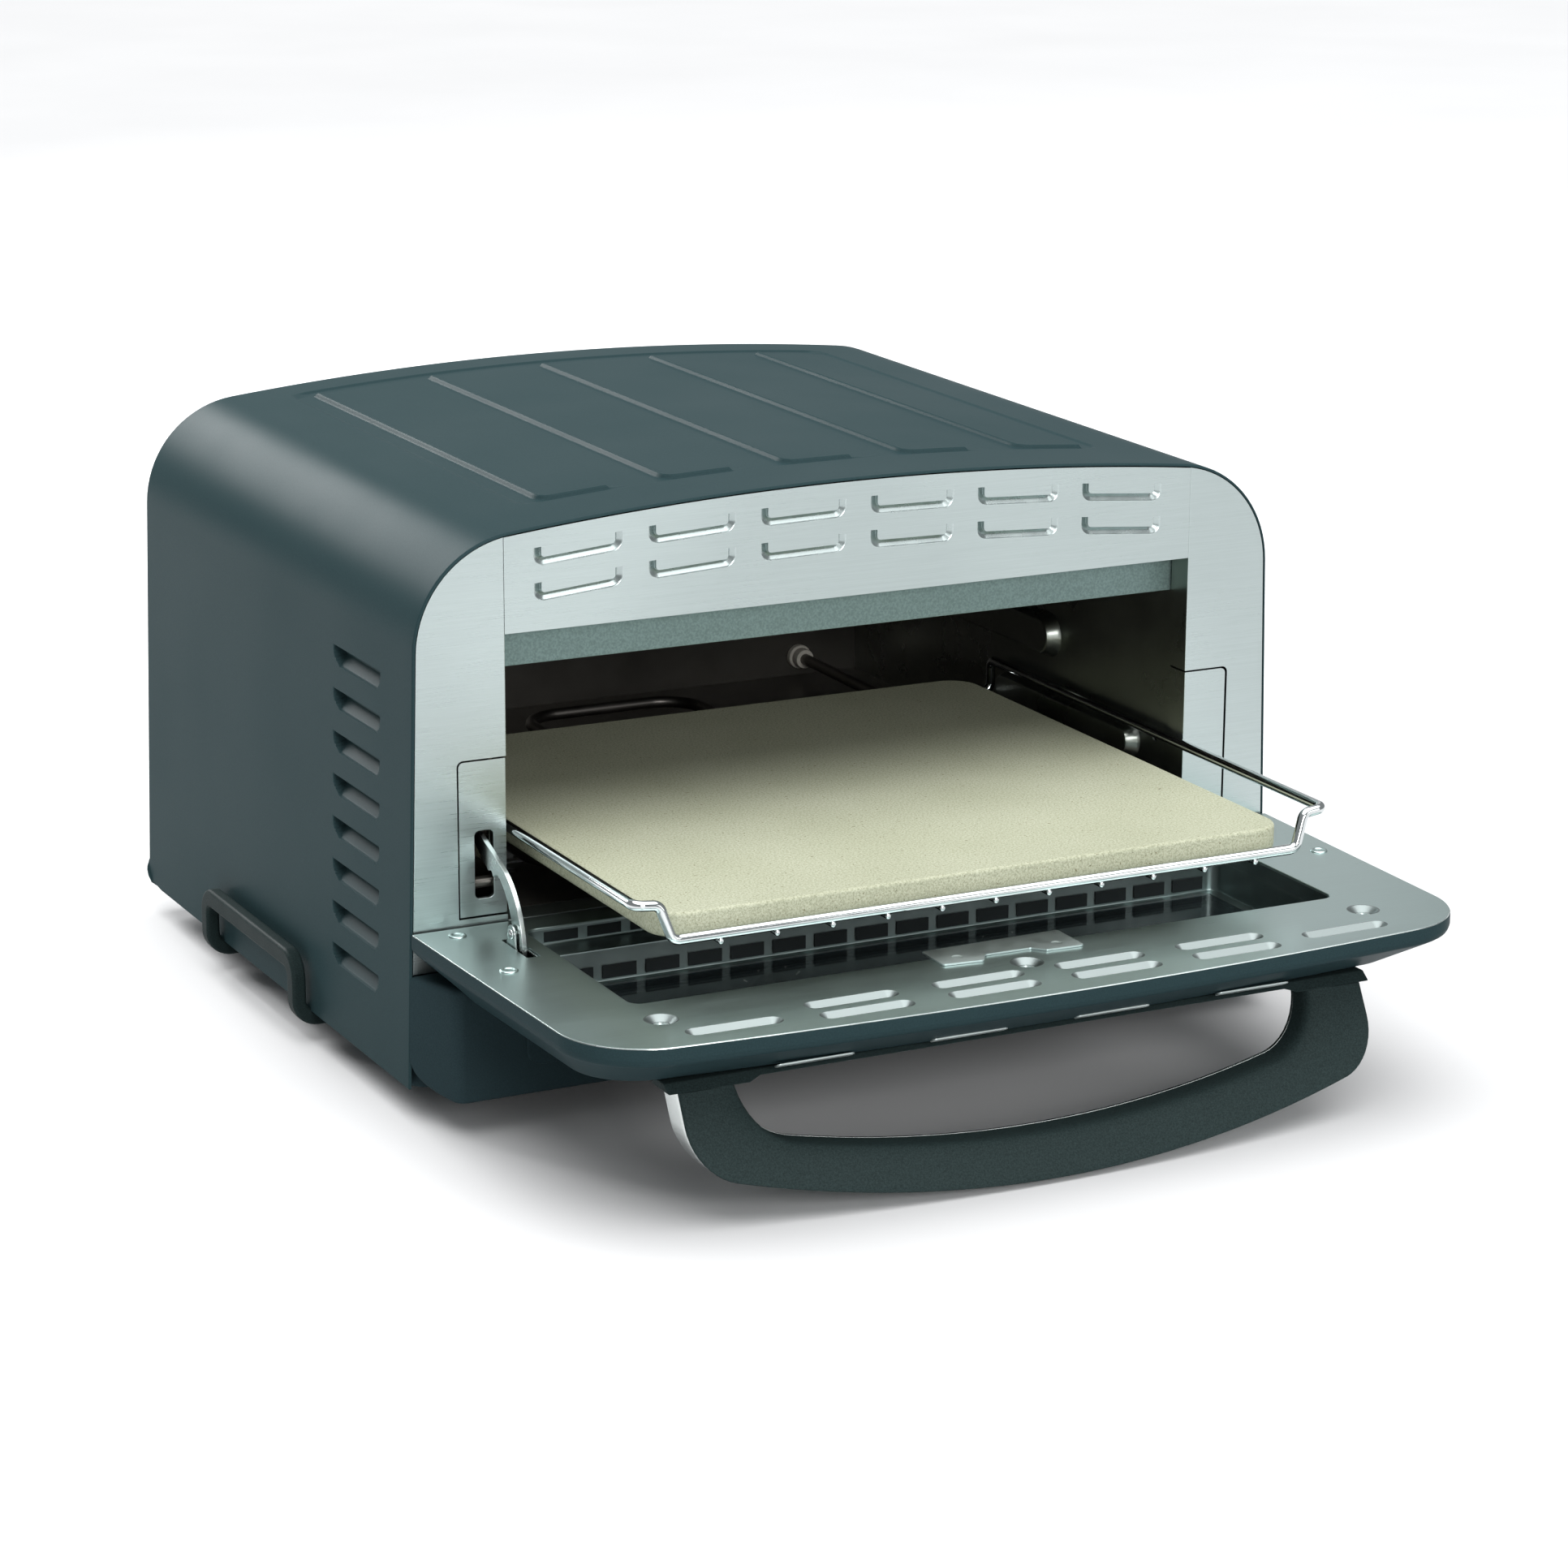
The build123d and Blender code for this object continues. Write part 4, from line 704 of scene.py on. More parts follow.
def make_housing():
    front_round = [0.0, 0.12, 0.35, 0.7, 1.2]
    ys = list(front_round)
    ys += [38.6, 39.2] + spaced(39.5, 46.5, 0.55) + spaced(89.0, 100.0, 0.6) + [101.0]
    ys += spaced(RIB_FRONT - 4, RIB_FRONT + 4, 0.7) + spaced(RIB_FRONT + 4, RIB_FRONT + 12, 2.0)
    ys += [RIB_REAR + d for d in (-3, -1, 0, 1, 1.8, 2.4, 3.0)]
    ys += [FIELD_Y0 + d for d in (-1, 0, 0.8, 1.6, 2.6)] + [FIELD_Y1 + d for d in (-2.6, -1.6, -0.8, 0, 1)]
    ys += spaced(10, BODY_D - 6, 14.0) + [BODY_D - 3, BODY_D - 1.2, BODY_D - 0.5, BODY_D - 0.15, BODY_D]
    ys = merged(ys, 0.1)
    points = []
    for x, z, nx, nz in section():
        row = []
        for y in ys:
            on_side = abs(nz) < 0.2
            lift = side_vents(y, z) if on_side else (roof_relief(x, y) if abs(nx) < 0.13 else 0.0)
            for edge in (y, BODY_D - y):
                if edge < 1.2:
                    lift -= 1.2 - sqrt(1.44 - (1.2 - edge) ** 2)
            zz = z
            if z < WRAP_LOW + 12.2 and y > BODY_D - 12 and on_side:
                reach = 12.0 - sqrt(max(0.0, 144.0 - (y - (BODY_D - 12)) ** 2))
                zz = max(z, WRAP_LOW + reach * (1 - (z - WRAP_LOW) / 40))
            row.append((x + nx * lift, y, zz + nz * lift))
        points.append(row)
    bm = bmesh.new()
    grid(bm, points)
    face_outward(bm)
    top = max(bm.faces, key=lambda f: f.calc_center_median().z)
    if top.normal.z < 0:
        bmesh.ops.reverse_faces(bm, faces=bm.faces[:])
    object_from("housing_wrap_pressed", bm, "housing", "oven", ("housing_wrap", "roof_ribs"),
                40, thick=1.3)


make_housing()

# ------------------------------------------------------------------ fascia
FACE_Y = 0.3
TOP_LOUVRE_W = 45.6
TOP_LOUVRE_X = [-147.6 + 58.6 * i for i in range(6)]
TOP_LOUVRE_T = (9.6, 26.4)          # distance below the arch of each row's upper edge
TOP_LOUVRE_H = 9.4
TOP_LOUVRE_DEPTH = 2.2
GROOVE_W = 4.0


def vent_edge(x0, t0, inset, r, n=7):
    """One edge of a vent's groove, down the left leg, along the foot and up the right leg, as (x, t)."""
    a, low = TOP_LOUVRE_W / 2 - inset, TOP_LOUVRE_H - inset
    left = [(-a, 0.3), (-a, (low - r) * 0.5)]
    for i in range(n + 1):
        turn = pi / 2 * i / n
        left.append((-a + r * (1 - cos(turn)), low - r + r * sin(turn)))
    return [(x0 + u, t0 + v) for u, v in left + [(-u, v) for u, v in reversed(left)]]


def press_vent(bm, verts, x0, t0, place):
    """Fills a U-shaped hole with a groove that slopes in and ends at the tongue's cut edge."""
    count = len(verts) // 2
    outer, inner = vent_edge(x0, t0, 0.0, 5.6), vent_edge(x0, t0, GROOVE_W, 1.8)
    rows = [verts[:count]]
    full = TOP_LOUVRE_DEPTH
    for share, depth in ((0.06, 0.05), (0.2, 0.35), (0.9, full), (1.0, full + 0.05)):
        row = []
        for (xa, ta), (xb, tb) in zip(outer, inner):
            row.append(bm.verts.new(place(xa + (xb - xa) * share, ta + (tb - ta) * share, depth)))
        rows.append(row)
    rows.append(verts[count:][::-1])
    made = []
    for high, low in zip(rows, rows[1:]):
        made += [bm.faces.new((high[i], high[i + 1], low[i + 1], low[i])) for i in range(count - 1)]
    for end in (0, -1):
        made.append(bm.faces.new([row[end] for row in rows]))
    for face in made:
        face.material_index = 1


def make_fascia_top():
    xs = spaced(-MOUTH_HALF + 0.3, MOUTH_HALF - 0.3, 8.0)
    place = lambda x, t, depth: (x, FACE_Y + depth, arch_z(x) - t)
    outline = [(x, 1.9) for x in xs] + [(x, arch_z(x) - MOUTH_TOP) for x in reversed(xs)]
    vents = [(x0, t0) for x0 in TOP_LOUVRE_X for t0 in TOP_LOUVRE_T]
    holes = [vent_edge(x0, t0, 0.0, 5.6) + vent_edge(x0, t0, GROOVE_W, 1.8)[::-1] for x0, t0 in vents]
    bm, rings = filled(outline, holes, place)
    for (x0, t0), verts in zip(vents, rings):
        press_vent(bm, verts, x0, t0, place)
    rows = [[(x, FACE_Y, MOUTH_TOP) for x in xs]]
    for depth, drop in ((0.15, 0.05), (0.5, 0.2), (6.0, 0.2), (13.5, 0.2)):
        rows.append([(x, FACE_Y + depth, MOUTH_TOP - drop) for x in xs])
    grid(bm, rows)
    bmesh.ops.remove_doubles(bm, verts=bm.verts[:], dist=0.00001)
    face_outward(bm, (0, -1, 0.2))
    object_from("fascia_top_panel", bm, ("fascia", "groove"), "oven", ("fascia_top",), 38,
                thick=0.9)


def fascia_outline(inset):
    """Right upper corner of the body's outline, from the side round to the roof."""
    lean = Vector((1, DRAFT)).normalized()
    r = CORNER_R - inset
    side0 = Vector((half_w(0), 0)) - lean * CORNER_R
    up = Vector((-lean.y, lean.x))
    roof_c = Vector((0, PEAK_Z - ROOF_R))
    rel = side0 - roof_c
    b = rel.dot(up)
    centre = side0 + up * (-b + sqrt(b * b - rel.dot(rel) + (ROOF_R - CORNER_R) ** 2))
    a0 = atan2(lean.y, lean.x)
    top_dir = (centre - roof_c).normalized()
    a1 = atan2(top_dir.y, top_dir.x)
    turns = [a0 + (a1 - a0) * i / 20 for i in range(21)]
    return [(centre.x + r * cos(a), centre.y + r * sin(a)) for a in turns]


PILLAR_LOW = 72.5
INSERT = (184.0, 210.3, 96.0, 173.0)      # |x| and z of the pressed insert
INSERT_BACK = 0.35
ARM_HOLE = (-201.9, -191.9, 105.0, 138.5)


def paint_fold_shade(bm):
    """Colours the returns behind the face with the darker lining steel: painted shade inside the mouth."""
    for face in bm.faces:
        if face.calc_center_median().y > FACE_Y + 1.0 and abs(face.normal.x) > 0.9:
            face.material_index = 1


def make_pillar(side, name, node):
    arc = fascia_outline(1.7)
    inner = MOUTH_HALF + 0.1
    outline = [(inner, PILLAR_LOW), (half_w(PILLAR_LOW) - 1.7, PILLAR_LOW)]
    outline += [(x, z) for x, z in arc if x > inner + 0.5] + [(inner, arch_z(inner, 1.7) - 0.1)]
    _, x1, z0, z1 = INSERT
    r = 3.0
    turns = [radians(90 - 18 * i) for i in range(6)]
    notch = [(inner, z1)] + [(x1 - r + r * cos(a), z1 - r + r * sin(a)) for a in turns]
    notch += [(x1 - 0.1, z0 + 0.1), (inner, z0)]
    outline = outline + notch
    bm, _ = filled([(side * x, z) for x, z in outline], [], lambda u, v, d: (u, FACE_Y + d, v))
    # the sheet folds back at the mouth
    for low, high in ((PILLAR_LOW, z0), (z1, arch_z(inner, 1.7))):
        fold = [[(side * (inner - o), FACE_Y + d, z) for z in (low, high)]
                for o, d in ((0, 0), (0.25, 0.1), (0.4, 0.4), (0.4, 15.0))]
        grid(bm, fold)
    bmesh.ops.remove_doubles(bm, verts=bm.verts[:], dist=0.01)
    face_outward(bm, (-0.1 * side, -1, 0))
    # the returns into the mouth get the darker lining steel as painted shade
    paint_fold_shade(bm)
    object_from(name, bm, ("fascia", "liner"), "oven", (node,), thick=0.9, edge=0.25)


def make_insert(side, name, node, hole):
    """The separate sheet in each pillar, pressed 0.5 mm back behind a fine gap."""
    _, x1, z0, z1 = INSERT
    gap = 0.95
    r = 2.6
    inner = MOUTH_HALF + 0.3
    cx, cz = x1 - gap - r, z1 - gap - r
    edge = [(inner, z0 + gap), (x1 - gap, z0 + gap)]
    edge += [(cx + r * cos(radians(18 * i)), cz + r * sin(radians(18 * i))) for i in range(6)]
    edge += [(inner, z1 - gap)]
    outline = [(side * x, z) for x, z in edge]
    place = lambda u, v, d: (u, FACE_Y + INSERT_BACK + d, v)
    holes = [rounded_rect(*hole, r)] if hole else []
    bm, rings = filled(outline, holes, place)
    if hole:
        lips = [(inset_rect(hole, e, r), d) for e, d in ((0.15, 0.1), (0.3, 0.4), (0.3, 2.2))]
        dish(bm, rings[0], lips, place, close=False)
    fold = [[(side * (inner - o), FACE_Y + INSERT_BACK + d, z) for z in (z0 + gap, z1 - gap)]
            for o, d in ((0, 0), (0.2, 0.1), (0.3, 0.4), (0.3, 14.5))]
    grid(bm, fold)
    bmesh.ops.remove_doubles(bm, verts=bm.verts[:], dist=0.01)
    face_outward(bm, (0, -1, 0))
    # the returns into the mouth get the darker lining steel as painted shade
    paint_fold_shade(bm)
    object_from(name, bm, ("fascia", "liner"), "oven", (node,), thick=0.8, edge=0.2)


make_fascia_top()
make_pillar(-1, "pillar_left", "fascia_left")
make_pillar(1, "pillar_right", "fascia_right")
make_insert(-1, "pillar_insert_left", "insert_left", ARM_HOLE)
make_insert(1, "pillar_insert_right", "insert_right", None)
keep("fascia_sill", "fascia", 0.3)
keep("front_rail", "rail", 0.4)


# ------------------------------------------------------------------ door
def door_ring(inset_side, inset_tip, corner, rear, corner_steps=14, tip_steps=22):
    """Plan outline of the open door from its left rear corner round the tip to the right rear corner."""
    tip_y = DOOR_TIP + inset_tip
    centre_y = tip_y + DOOR_R
    lean = atan2(DRAFT, 1)
    # corner circle: tangent to the right side and inside the tip's arc
    normal = Vector((cos(lean), -sin(lean)))
    base = Vector((HALF_W + DRAFT * 10 - inset_side, 0)) - normal * corner
    along = Vector((-sin(lean), -cos(lean)))
    rel = base - Vector((0, centre_y))
    b = rel.dot(along)
    centre = base + along * (-b + sqrt(b * b - rel.dot(rel) + (DOOR_R - corner) ** 2))
    a_side = atan2(normal.y, normal.x)
    out_dir = (centre - Vector((0, centre_y))).normalized()
    a_tip = atan2(out_dir.y, out_dir.x)
    right = [(HALF_W + DRAFT * 10 - inset_side + DRAFT * rear, rear)]
    first = (centre.x + corner * cos(a_side), centre.y + corner * sin(a_side))
    for share in (0.25, 0.5, 0.75):
        right.append((right[0][0] + (first[0] - right[0][0]) * share, rear + (first[1] - rear) * share))
    for i in range(corner_steps + 1):
        a = a_side + (a_tip - a_side) * i / corner_steps
        right.append((centre.x + corner * cos(a), centre.y + corner * sin(a)))
    x_end = right[-1][0]
    tip_xs = [x_end * (1 - i / tip_steps) for i in range(1, tip_steps + 1)]
    right += [(x, centre_y - sqrt(DOOR_R ** 2 - x ** 2)) for x in tip_xs]
    left = [(-x, y) for x, y in right[:-1]]
    return left + list(reversed(right))


def rear_at(z):
    """Where the door's underside is cut back near the hinge, at height z."""
    if z >= 86.5:
        return DOOR_REAR
    if z >= 75.3:
        return -30.5 + (z - 75.3) / (85.57 - 75.3) * (DOOR_REAR + 30.5) if z < 85.57 else DOOR_REAR
    return -32.0 + (z - 65.0) / 10.3 * 1.5


BEVEL_SIDE = 19.0
BEVEL_TIP = 37.0
GLASS_HOLE = (-190.4, 190.4, -144.2, -35.0)
GLASS_HOLE_R = 4.0


def make_door_shell():
    """Painted outer shell: straight lip, bevel all round, flat face with the window's opening."""
    levels = [(SILL_Z - 0.85, 0.9, 0.9), (SILL_Z - 0.5, 0.25, 0.25), (SILL_Z - 0.9, 0.0, 0.0),
              (SILL_Z - 5.8, 0.0, 0.0)]
    lip_z = SILL_Z - DOOR_LIP
    # a soft turn from the lip into the bevel, then from the bevel into the outer face
    for t in (0.0, 0.25, 0.5, 0.75, 1.0):
        z = SILL_Z - 5.8 - 3.6 * t
        share = max(0.0, (lip_z - z) / (lip_z - OUT_Z))
        extra = 0.32 * (1 - abs(2 * t - 1))
        levels.append((z, BEVEL_SIDE * share + extra, BEVEL_TIP * share + extra * 1.6))
    for t in (0.3, 0.6, 0.86, 0.92):
        levels.append((lip_z + (OUT_Z - lip_z) * t, BEVEL_SIDE * t, BEVEL_TIP * t))
    levels.append((OUT_Z + 0.75, BEVEL_SIDE * 0.97 + 0.3, BEVEL_TIP * 0.97 + 0.5))
    levels.append((OUT_Z + 0.2, BEVEL_SIDE + 0.9, BEVEL_TIP + 0.9))
    levels.append((OUT_Z, BEVEL_SIDE + 2.4, BEVEL_TIP + 2.6))
    bm = bmesh.new()
    rows = []
    for z, side, tip in levels:
        share = min(1.0, max(0.0, (lip_z - z) / (lip_z - OUT_Z)))
        corner = DOOR_CORNER - 12.0 * share - (0.9 if z > SILL_Z - 0.7 and side > 0.5 else 0)
        outline = door_ring(side, tip, corner, rear_at(z))
        rows.append(ring(bm, [(x, y, z) for x, y in outline]))
    loft(bm, rows, closed=False, caps=False)
    # outer face with the glass's opening
    hole = ring(bm, [(x, y, OUT_Z) for x, y in rounded_rect(*GLASS_HOLE, GLASS_HOLE_R)])
    outer = rows[-1]
    edges = [bm.edges.get((outer[i], outer[i + 1])) for i in range(len(outer) - 1)]
    edges.append(bm.edges.new((outer[-1], outer[0])))
    edges += [bm.edges.new((hole[i], hole[(i + 1) % len(hole)])) for i in range(len(hole))]
    bmesh.ops.triangle_fill(bm, use_beauty=True, use_dissolve=False, edges=edges)
    rim = [hole]
    for e, d in ((0.15, 0.1), (0.25, 0.4), (0.25, 1.6)):
        rim.append(ring(bm, [(x, y, OUT_Z + d) for x, y in inset_rect(GLASS_HOLE, e, GLASS_HOLE_R + e)]))
    loft(bm, rim, caps=False)
    # closing wall at the hinge, from row end to row end
    for a, b in zip(rows[3:], rows[4:]):
        bm.faces.new((a[0], a[-1], b[-1], b[0]))
    face_outward(bm)
    lowest = min(bm.faces, key=lambda f: f.calc_center_median().z)
    if lowest.normal.z > 0:
        bmesh.ops.reverse_faces(bm, faces=bm.faces[:])
    object_from("door_outer_shell", bm, "shell", "door", ("door_shell",), 40, thick=1.0)


WINDOW = (-186.0, 186.0, -139.8, -17.6)
WINDOW_R = 6.5
SLOT_HALF = 23.5
SLOT_R = 5.0
SLOT_XS = (-94.5, -29.8, 33.9, 98.3)
SLOT_ROWS = (-174.5, -190.0)
COUNTERSINKS = ((-182.5, -162.5), (2.4, -162.5), (186.5, -162.5))
ARM_SLOT = (-200.6, -193.4, -57.0, -27.0)
SLOT_LEVELS = ((0.2, 0.06), (0.5, 0.3), (3.2, 2.4), (3.8, 2.7))                  # inset, depth
SINK_LEVELS = ((7.5, 0.10), (7.0, 0.40), (4.4, 2.45), (4.15, 2.6), (4.1, 3.2))   # radius, depth


def slot_outline(cx, cy, shrink, skew=0.0, n=7):
    """Rounded slot along X, turned by skew."""
    half = SLOT_HALF - SLOT_R
    r = SLOT_R - shrink
    out = []
    for x, start in ((half, -90), (-half, 90)):
        for i in range(n + 1):
            a = radians(start + 180 * i / n)
            out.append((x + r * cos(a), r * sin(a)))
    return [(cx + u * cos(skew) - v * sin(skew), cy + u * sin(skew) + v * cos(skew)) for u, v in out]


def make_door_panel():
    """Inner sheet with its window, pressed slots, countersinks and the hinge arm's slot."""
    outline = door_ring(0.55, 0.55, DOOR_CORNER - 0.5, DOOR_REAR)
    window = rounded_rect(*WINDOW, WINDOW_R)
    slots = [(x, y, 0.0) for y in SLOT_ROWS for x in SLOT_XS]
    slots += [(-157.5, -184.6, -0.02), (161.3, -184.6, 0.02)]
    place = lambda u, v, d: (u, v, SILL_Z - d)
    holes = [window, rounded_rect(*ARM_SLOT, 0.8, 3)]
    holes += [slot_outline(x, y, 0.0, a) for x, y, a in slots]
    holes += [circle(x, y, 7.9) for x, y in COUNTERSINKS]
    bm, rings = filled(outline, holes, place)
    lip = [(inset_rect(WINDOW, e, WINDOW_R), d) for e, d in ((0.25, 0.06), (0.5, 0.35), (0.55, 1.6))]
    dish(bm, rings[0], lip, place, close=False)
    # slot and countersink faces take the darker recess steel as painted shade
    for (x, y, a), loop in zip(slots, rings[2:12]):
        dish(bm, loop, [(slot_outline(x, y, e, a), d) for e, d in SLOT_LEVELS], place, shade_material_index=1)
    for (x, y), loop in zip(COUNTERSINKS, rings[12:]):
        dish(bm, loop, [(circle(x, y, r), d) for r, d in SINK_LEVELS], place, close=False, shade_material_index=1)
    face_outward(bm, (0, 0, 1))
    object_from("door_inner_sheet", bm, ("panel", "recess"), "door", ("door_inner_panel",), 35,
                thick=0.7, edge=0.12, segments=2)


def make_door_rim():
    """The bright rolled edge where the inner sheet meets the shell."""
    bm = bmesh.new()
    path = [(x, y, SILL_Z - 0.55) for x, y in door_ring(0.75, 0.75, DOOR_CORNER - 0.7, DOOR_REAR - 0.4)]
    tube(bm, path, 0.5, 8)
    object_from("door_rim_bead", bm, "bright", "door", ())


make_door_shell()
make_door_panel()
make_door_rim()

CLAMP = ((-35.3, -130.4), (-35.3, -151.5), (-15.0, -153.5), (-10.6, -146.6), (13.2, -147.0), (18.7, -152.8),
         (38.0, -153.8), (38.0, -128.8))


def round_polygon(points, r, n=5):
    """A flat polygon's outline with rounded corners."""
    return [(p.x, p.y) for p in filleted([(x, y, 0) for x, y in points], r, n, closed=True)]


def make_clamp():
    """The sprung clip that holds the glass: a bent tongue with two dimples."""
    outline = round_polygon(CLAMP, 1.8)
    place = lambda u, v, d: (u, v, SILL_Z + 1.0 - d)
    dimples = ((-24.0, -144.5), (27.5, -146.0))
    bm, rings = filled(outline, [circle(x, y, 3.0, 20) for x, y in dimples], place)
    for (x, y), loop in zip(dimples, rings):
        dish(bm, loop, [(circle(x, y, r, 20), d) for r, d in ((2.7, 0.05), (2.2, 0.3), (1.2, 0.45))], place)
    face_outward(bm, (0, 0, 1))
    object_from("glass_clamp_clip", bm, "satin", "door", ("glass_clamp",), thick=0.85,
                edge=0.2)


RIVETS = ((-216.5, -12.4), (-215.5, -70.6), (216.5, -12.4), (222.0, -70.6))


RIVET_PROFILE = ((4.4, 0.02), (4.35, 0.35), (3.9, 0.72), (3.1, 0.78), (2.6, 0.55), (2.3, 0.2), (1.2, 0.12),
                 (0.3, 0.1))
SCREW_PROFILE = ((2.6, -19.0), (2.6, -4.2), (3.2, -3.6), (3.9, -2.95), (3.7, -2.6), (2.9, -2.4),
                 (2.4, -2.45), (2.1, -3.3), (0.6, -3.35))


def make_door_hardware():
    """Rivets beside the hinges and the three screws in their countersinks."""
    bm = bmesh.new()
    for x, y in RIVETS:
        lathe(bm, (x, y, SILL_Z), RIVET_PROFILE)
    face_outward(bm)
    object_from("door_rivet_heads", bm, "panel", "door", ("door_rivets",), 50)
    bm = bmesh.new()
    for x, y in COUNTERSINKS:
        lathe(bm, (x, y, SILL_Z), SCREW_PROFILE)
    face_outward(bm)
    object_from("door_screw_heads", bm, "satin", "door", ("door_screws",), 40)


make_clamp()
make_door_hardware()


def make_window_channel():
    """The pressed channel between the sheet's opening and the glass, with its vents in its hinge side drawn
    as thin dark sheets of painted shade.
    """
    x0, x1, y0, y1 = WINDOW
    x0, x1, y0, y1 = x0 + 0.6, x1 - 0.6, y0 + 0.6, y1 - 0.6
    top, step, low = SILL_Z - 1.4, 84.2, OUT_Z + 3.1
    r = 6.0
    bm = bmesh.new()

    def contour(inset, rear, z):
        outline = rounded_rect(x0 + inset, x1 - inset, y0 + inset, rear, r - inset)
        return ring(bm, [(x, y, z) for x, y in outline])

    rows = [contour(0, y1, top), contour(0, y1, step + 1.0), contour(0.3, y1 - 0.4, step + 0.3),
            contour(0.4, y1 - 1.2, step)]
    rows += [contour(0.4, -33.6, step), contour(0.5, -34.4, step - 0.3), contour(0.6, -34.7, step - 1.0),
             contour(0.8, -34.8, low + 1.0), contour(1.4, -35.2, low + 0.2), contour(7.0, -39.5, low)]
    loft(bm, rows, caps=False)
    face_outward(bm, (0, 0, 1))
    object_from("window_channel", bm, "channel", "door", ("window_frame",), 40, thick=0.8)
    # the vents are thin dark boxes on the channel wall: painted shade standing for the openings
    bm = bmesh.new()
    for i in range(16):
        x = -166.5 + i * 22.3
        box_shape(bm, x - 8.8, x + 8.8, -18.3, -17.95, 85.6, 90.8)
        box_shape(bm, x - 8.8, x + 8.8, -35.55, -35.3, 69.6, 76.2)
    object_from("window_channel_vent_shade", bm, "void", "door", (), edge=0.1)


make_window_channel()
keep("door_glass", "glass", 0.2)

VENT_XS = (-114.0, -35.5, 39.5, 115.5)
SPACER = (-19.5, 19.5, -2.6, 2.6)
SPACER_R = 1.9


def make_bevel_vents():
    """Four bright raised spacers on the shell's bevel, just above the handle's bar."""
    bm = bmesh.new()
    slope = atan2(DOOR_T - DOOR_LIP, BEVEL_TIP)
    for x0 in VENT_XS:
        centre = Vector((x0, DOOR_TIP + BEVEL_TIP - 6.0, OUT_Z + 6.0 * tan(slope)))
        along = Vector((0, -cos(slope), sin(slope)))
        out = Vector((0, -sin(slope), -cos(slope)))
        rows = []
        for shrink, lift in ((0.0, -0.2), (0.0, 0.25), (0.25, 0.5), (0.8, 0.55)):
            rows.append(ring(bm, [tuple(centre + Vector((u, 0, 0)) + along * v + out * lift)
                                  for u, v in inset_rect(SPACER, shrink, SPACER_R)]))
        loft(bm, rows)
    face_outward(bm)
    object_from("door_bevel_spacers", bm, "satin", "door", ())


make_bevel_vents()

# ------------------------------------------------------------------ door handle
BOW_TILT = radians(28.0)
BOW_TOP = SILL_Z - 32.0
BOW_FRONT = -173.5
BOW_D = 18.0
BOW_OUT_X = 179.0
BOW_IN_X = 150.5
BOW_LOW = SILL_Z - 90.4
BOW_IN_LOW = SILL_Z - 72.2
BOW_R = 641.0


def bow_edge(half, low, corner, n_arc=28, n_corner=10):
    """One edge of the bow in front view, from the left pad down round to the right pad: (x, z)."""
    sag = half * half / (2 * BOW_R)
    # round the corner between the leg and the arc
    cut = corner
    leg = Vector((-half, 0, low + sag + cut))
    foot = Vector((-half + cut, 0, low + (half - cut) ** 2 / (2 * BOW_R)))
    knee = Vector((-half, 0, low + sag))
    left = [(-half, BOW_TOP), (-half, BOW_TOP * 0.6 + leg.z * 0.4)]
    for i in range(n_corner + 1):
        t = i / n_corner
        # a conic close to a circular arc
        w = 0.75
        b0, b1, b2 = (1 - t) ** 2, 2 * w * t * (1 - t), t * t
        p = (leg * b0 + knee * b1 + foot * b2) / (b0 + b1 + b2)
        left.append((p.x, p.z))
    reach = half - cut
    middle = [(reach * k, low + (reach * k) ** 2 / (2 * BOW_R))
              for k in [2 * i / n_arc - 1 for i in range(1, n_arc)]]
    right = [(-x, z) for x, z in reversed(left)]
    return left + middle + right


def lean_point(x, z, depth):
    """A point of the bow, depth behind its leaning front face."""
    return (x, BOW_FRONT - (BOW_TOP - z) * tan(BOW_TILT) + depth, z)


def bow_loft(bm, stations):
    """Lofts the bow. stations are (share from the outer to the inner edge, offset, depth)."""
    outer = bow_edge(BOW_OUT_X, BOW_LOW, 19.0)
    inner = bow_edge(BOW_IN_X, BOW_IN_LOW, 24.0)
    count = len(outer)
    rings = []
    for i in range(count):
        o, n = Vector(outer[i]), Vector(inner[i])
        across = n - o
        section_points = []
        for share, shift, depth in stations:
            p = o + across * share + across.normalized() * shift
            section_points.append(lean_point(p.x, min(p.y, BOW_TOP), depth))
        rings.append(ring(bm, section_points))
    loft(bm, rings)


def make_handle():
    """The bow: a moulded grip with a steel cap along its back and outer side."""
    # dark body: rounded front edges, dished inner side
    body = [(0, 1.0, 2.9), (0, 0.15, 2.2), (0, -0.1, 1.5), (0, 0.3, 0.7), (0, 1.2, 0.2), (0, 3.0, 0.0),
            (0.42, 0, 0.0), (0.62, 0, 0.25), (0.8, 0, 1.0), (0.95, 0, 2.6), (1, 0.1, 4.4), (1, 0.2, 8.0),
            (1, 0.1, BOW_D - 2.6), (0, 1.0, BOW_D - 2.6)]
    bm = bmesh.new()
    bow_loft(bm, body)
    face_outward(bm)
    object_from("handle_grip_body", bm, "grip", "door", ("handle_grip",), 42)
    # steel cap: back plate and outer side, folded from one strip
    cap = [(0, 0.95, 2.3), (0, 0.2, 2.4), (0, 0.0, 2.9), (0, -0.2, 4.5), (0, -0.25, BOW_D - 1.2),
           (0, 0.1, BOW_D - 0.4), (0, 1.0, BOW_D), (0.5, 0, BOW_D), (1, -1.0, BOW_D),
           (1, -0.1, BOW_D - 0.4), (1, 0.25, BOW_D - 1.2),
           (1, 0.25, BOW_D - 2.4), (1, -0.7, BOW_D - 2.5), (0.5, 0, BOW_D - 2.5), (0, 1.05, BOW_D - 2.55)]
    bm = bmesh.new()
    bow_loft(bm, cap)
    face_outward(bm)
    object_from("handle_steel_cap", bm, "band", "door", ("handle_band",), 42)


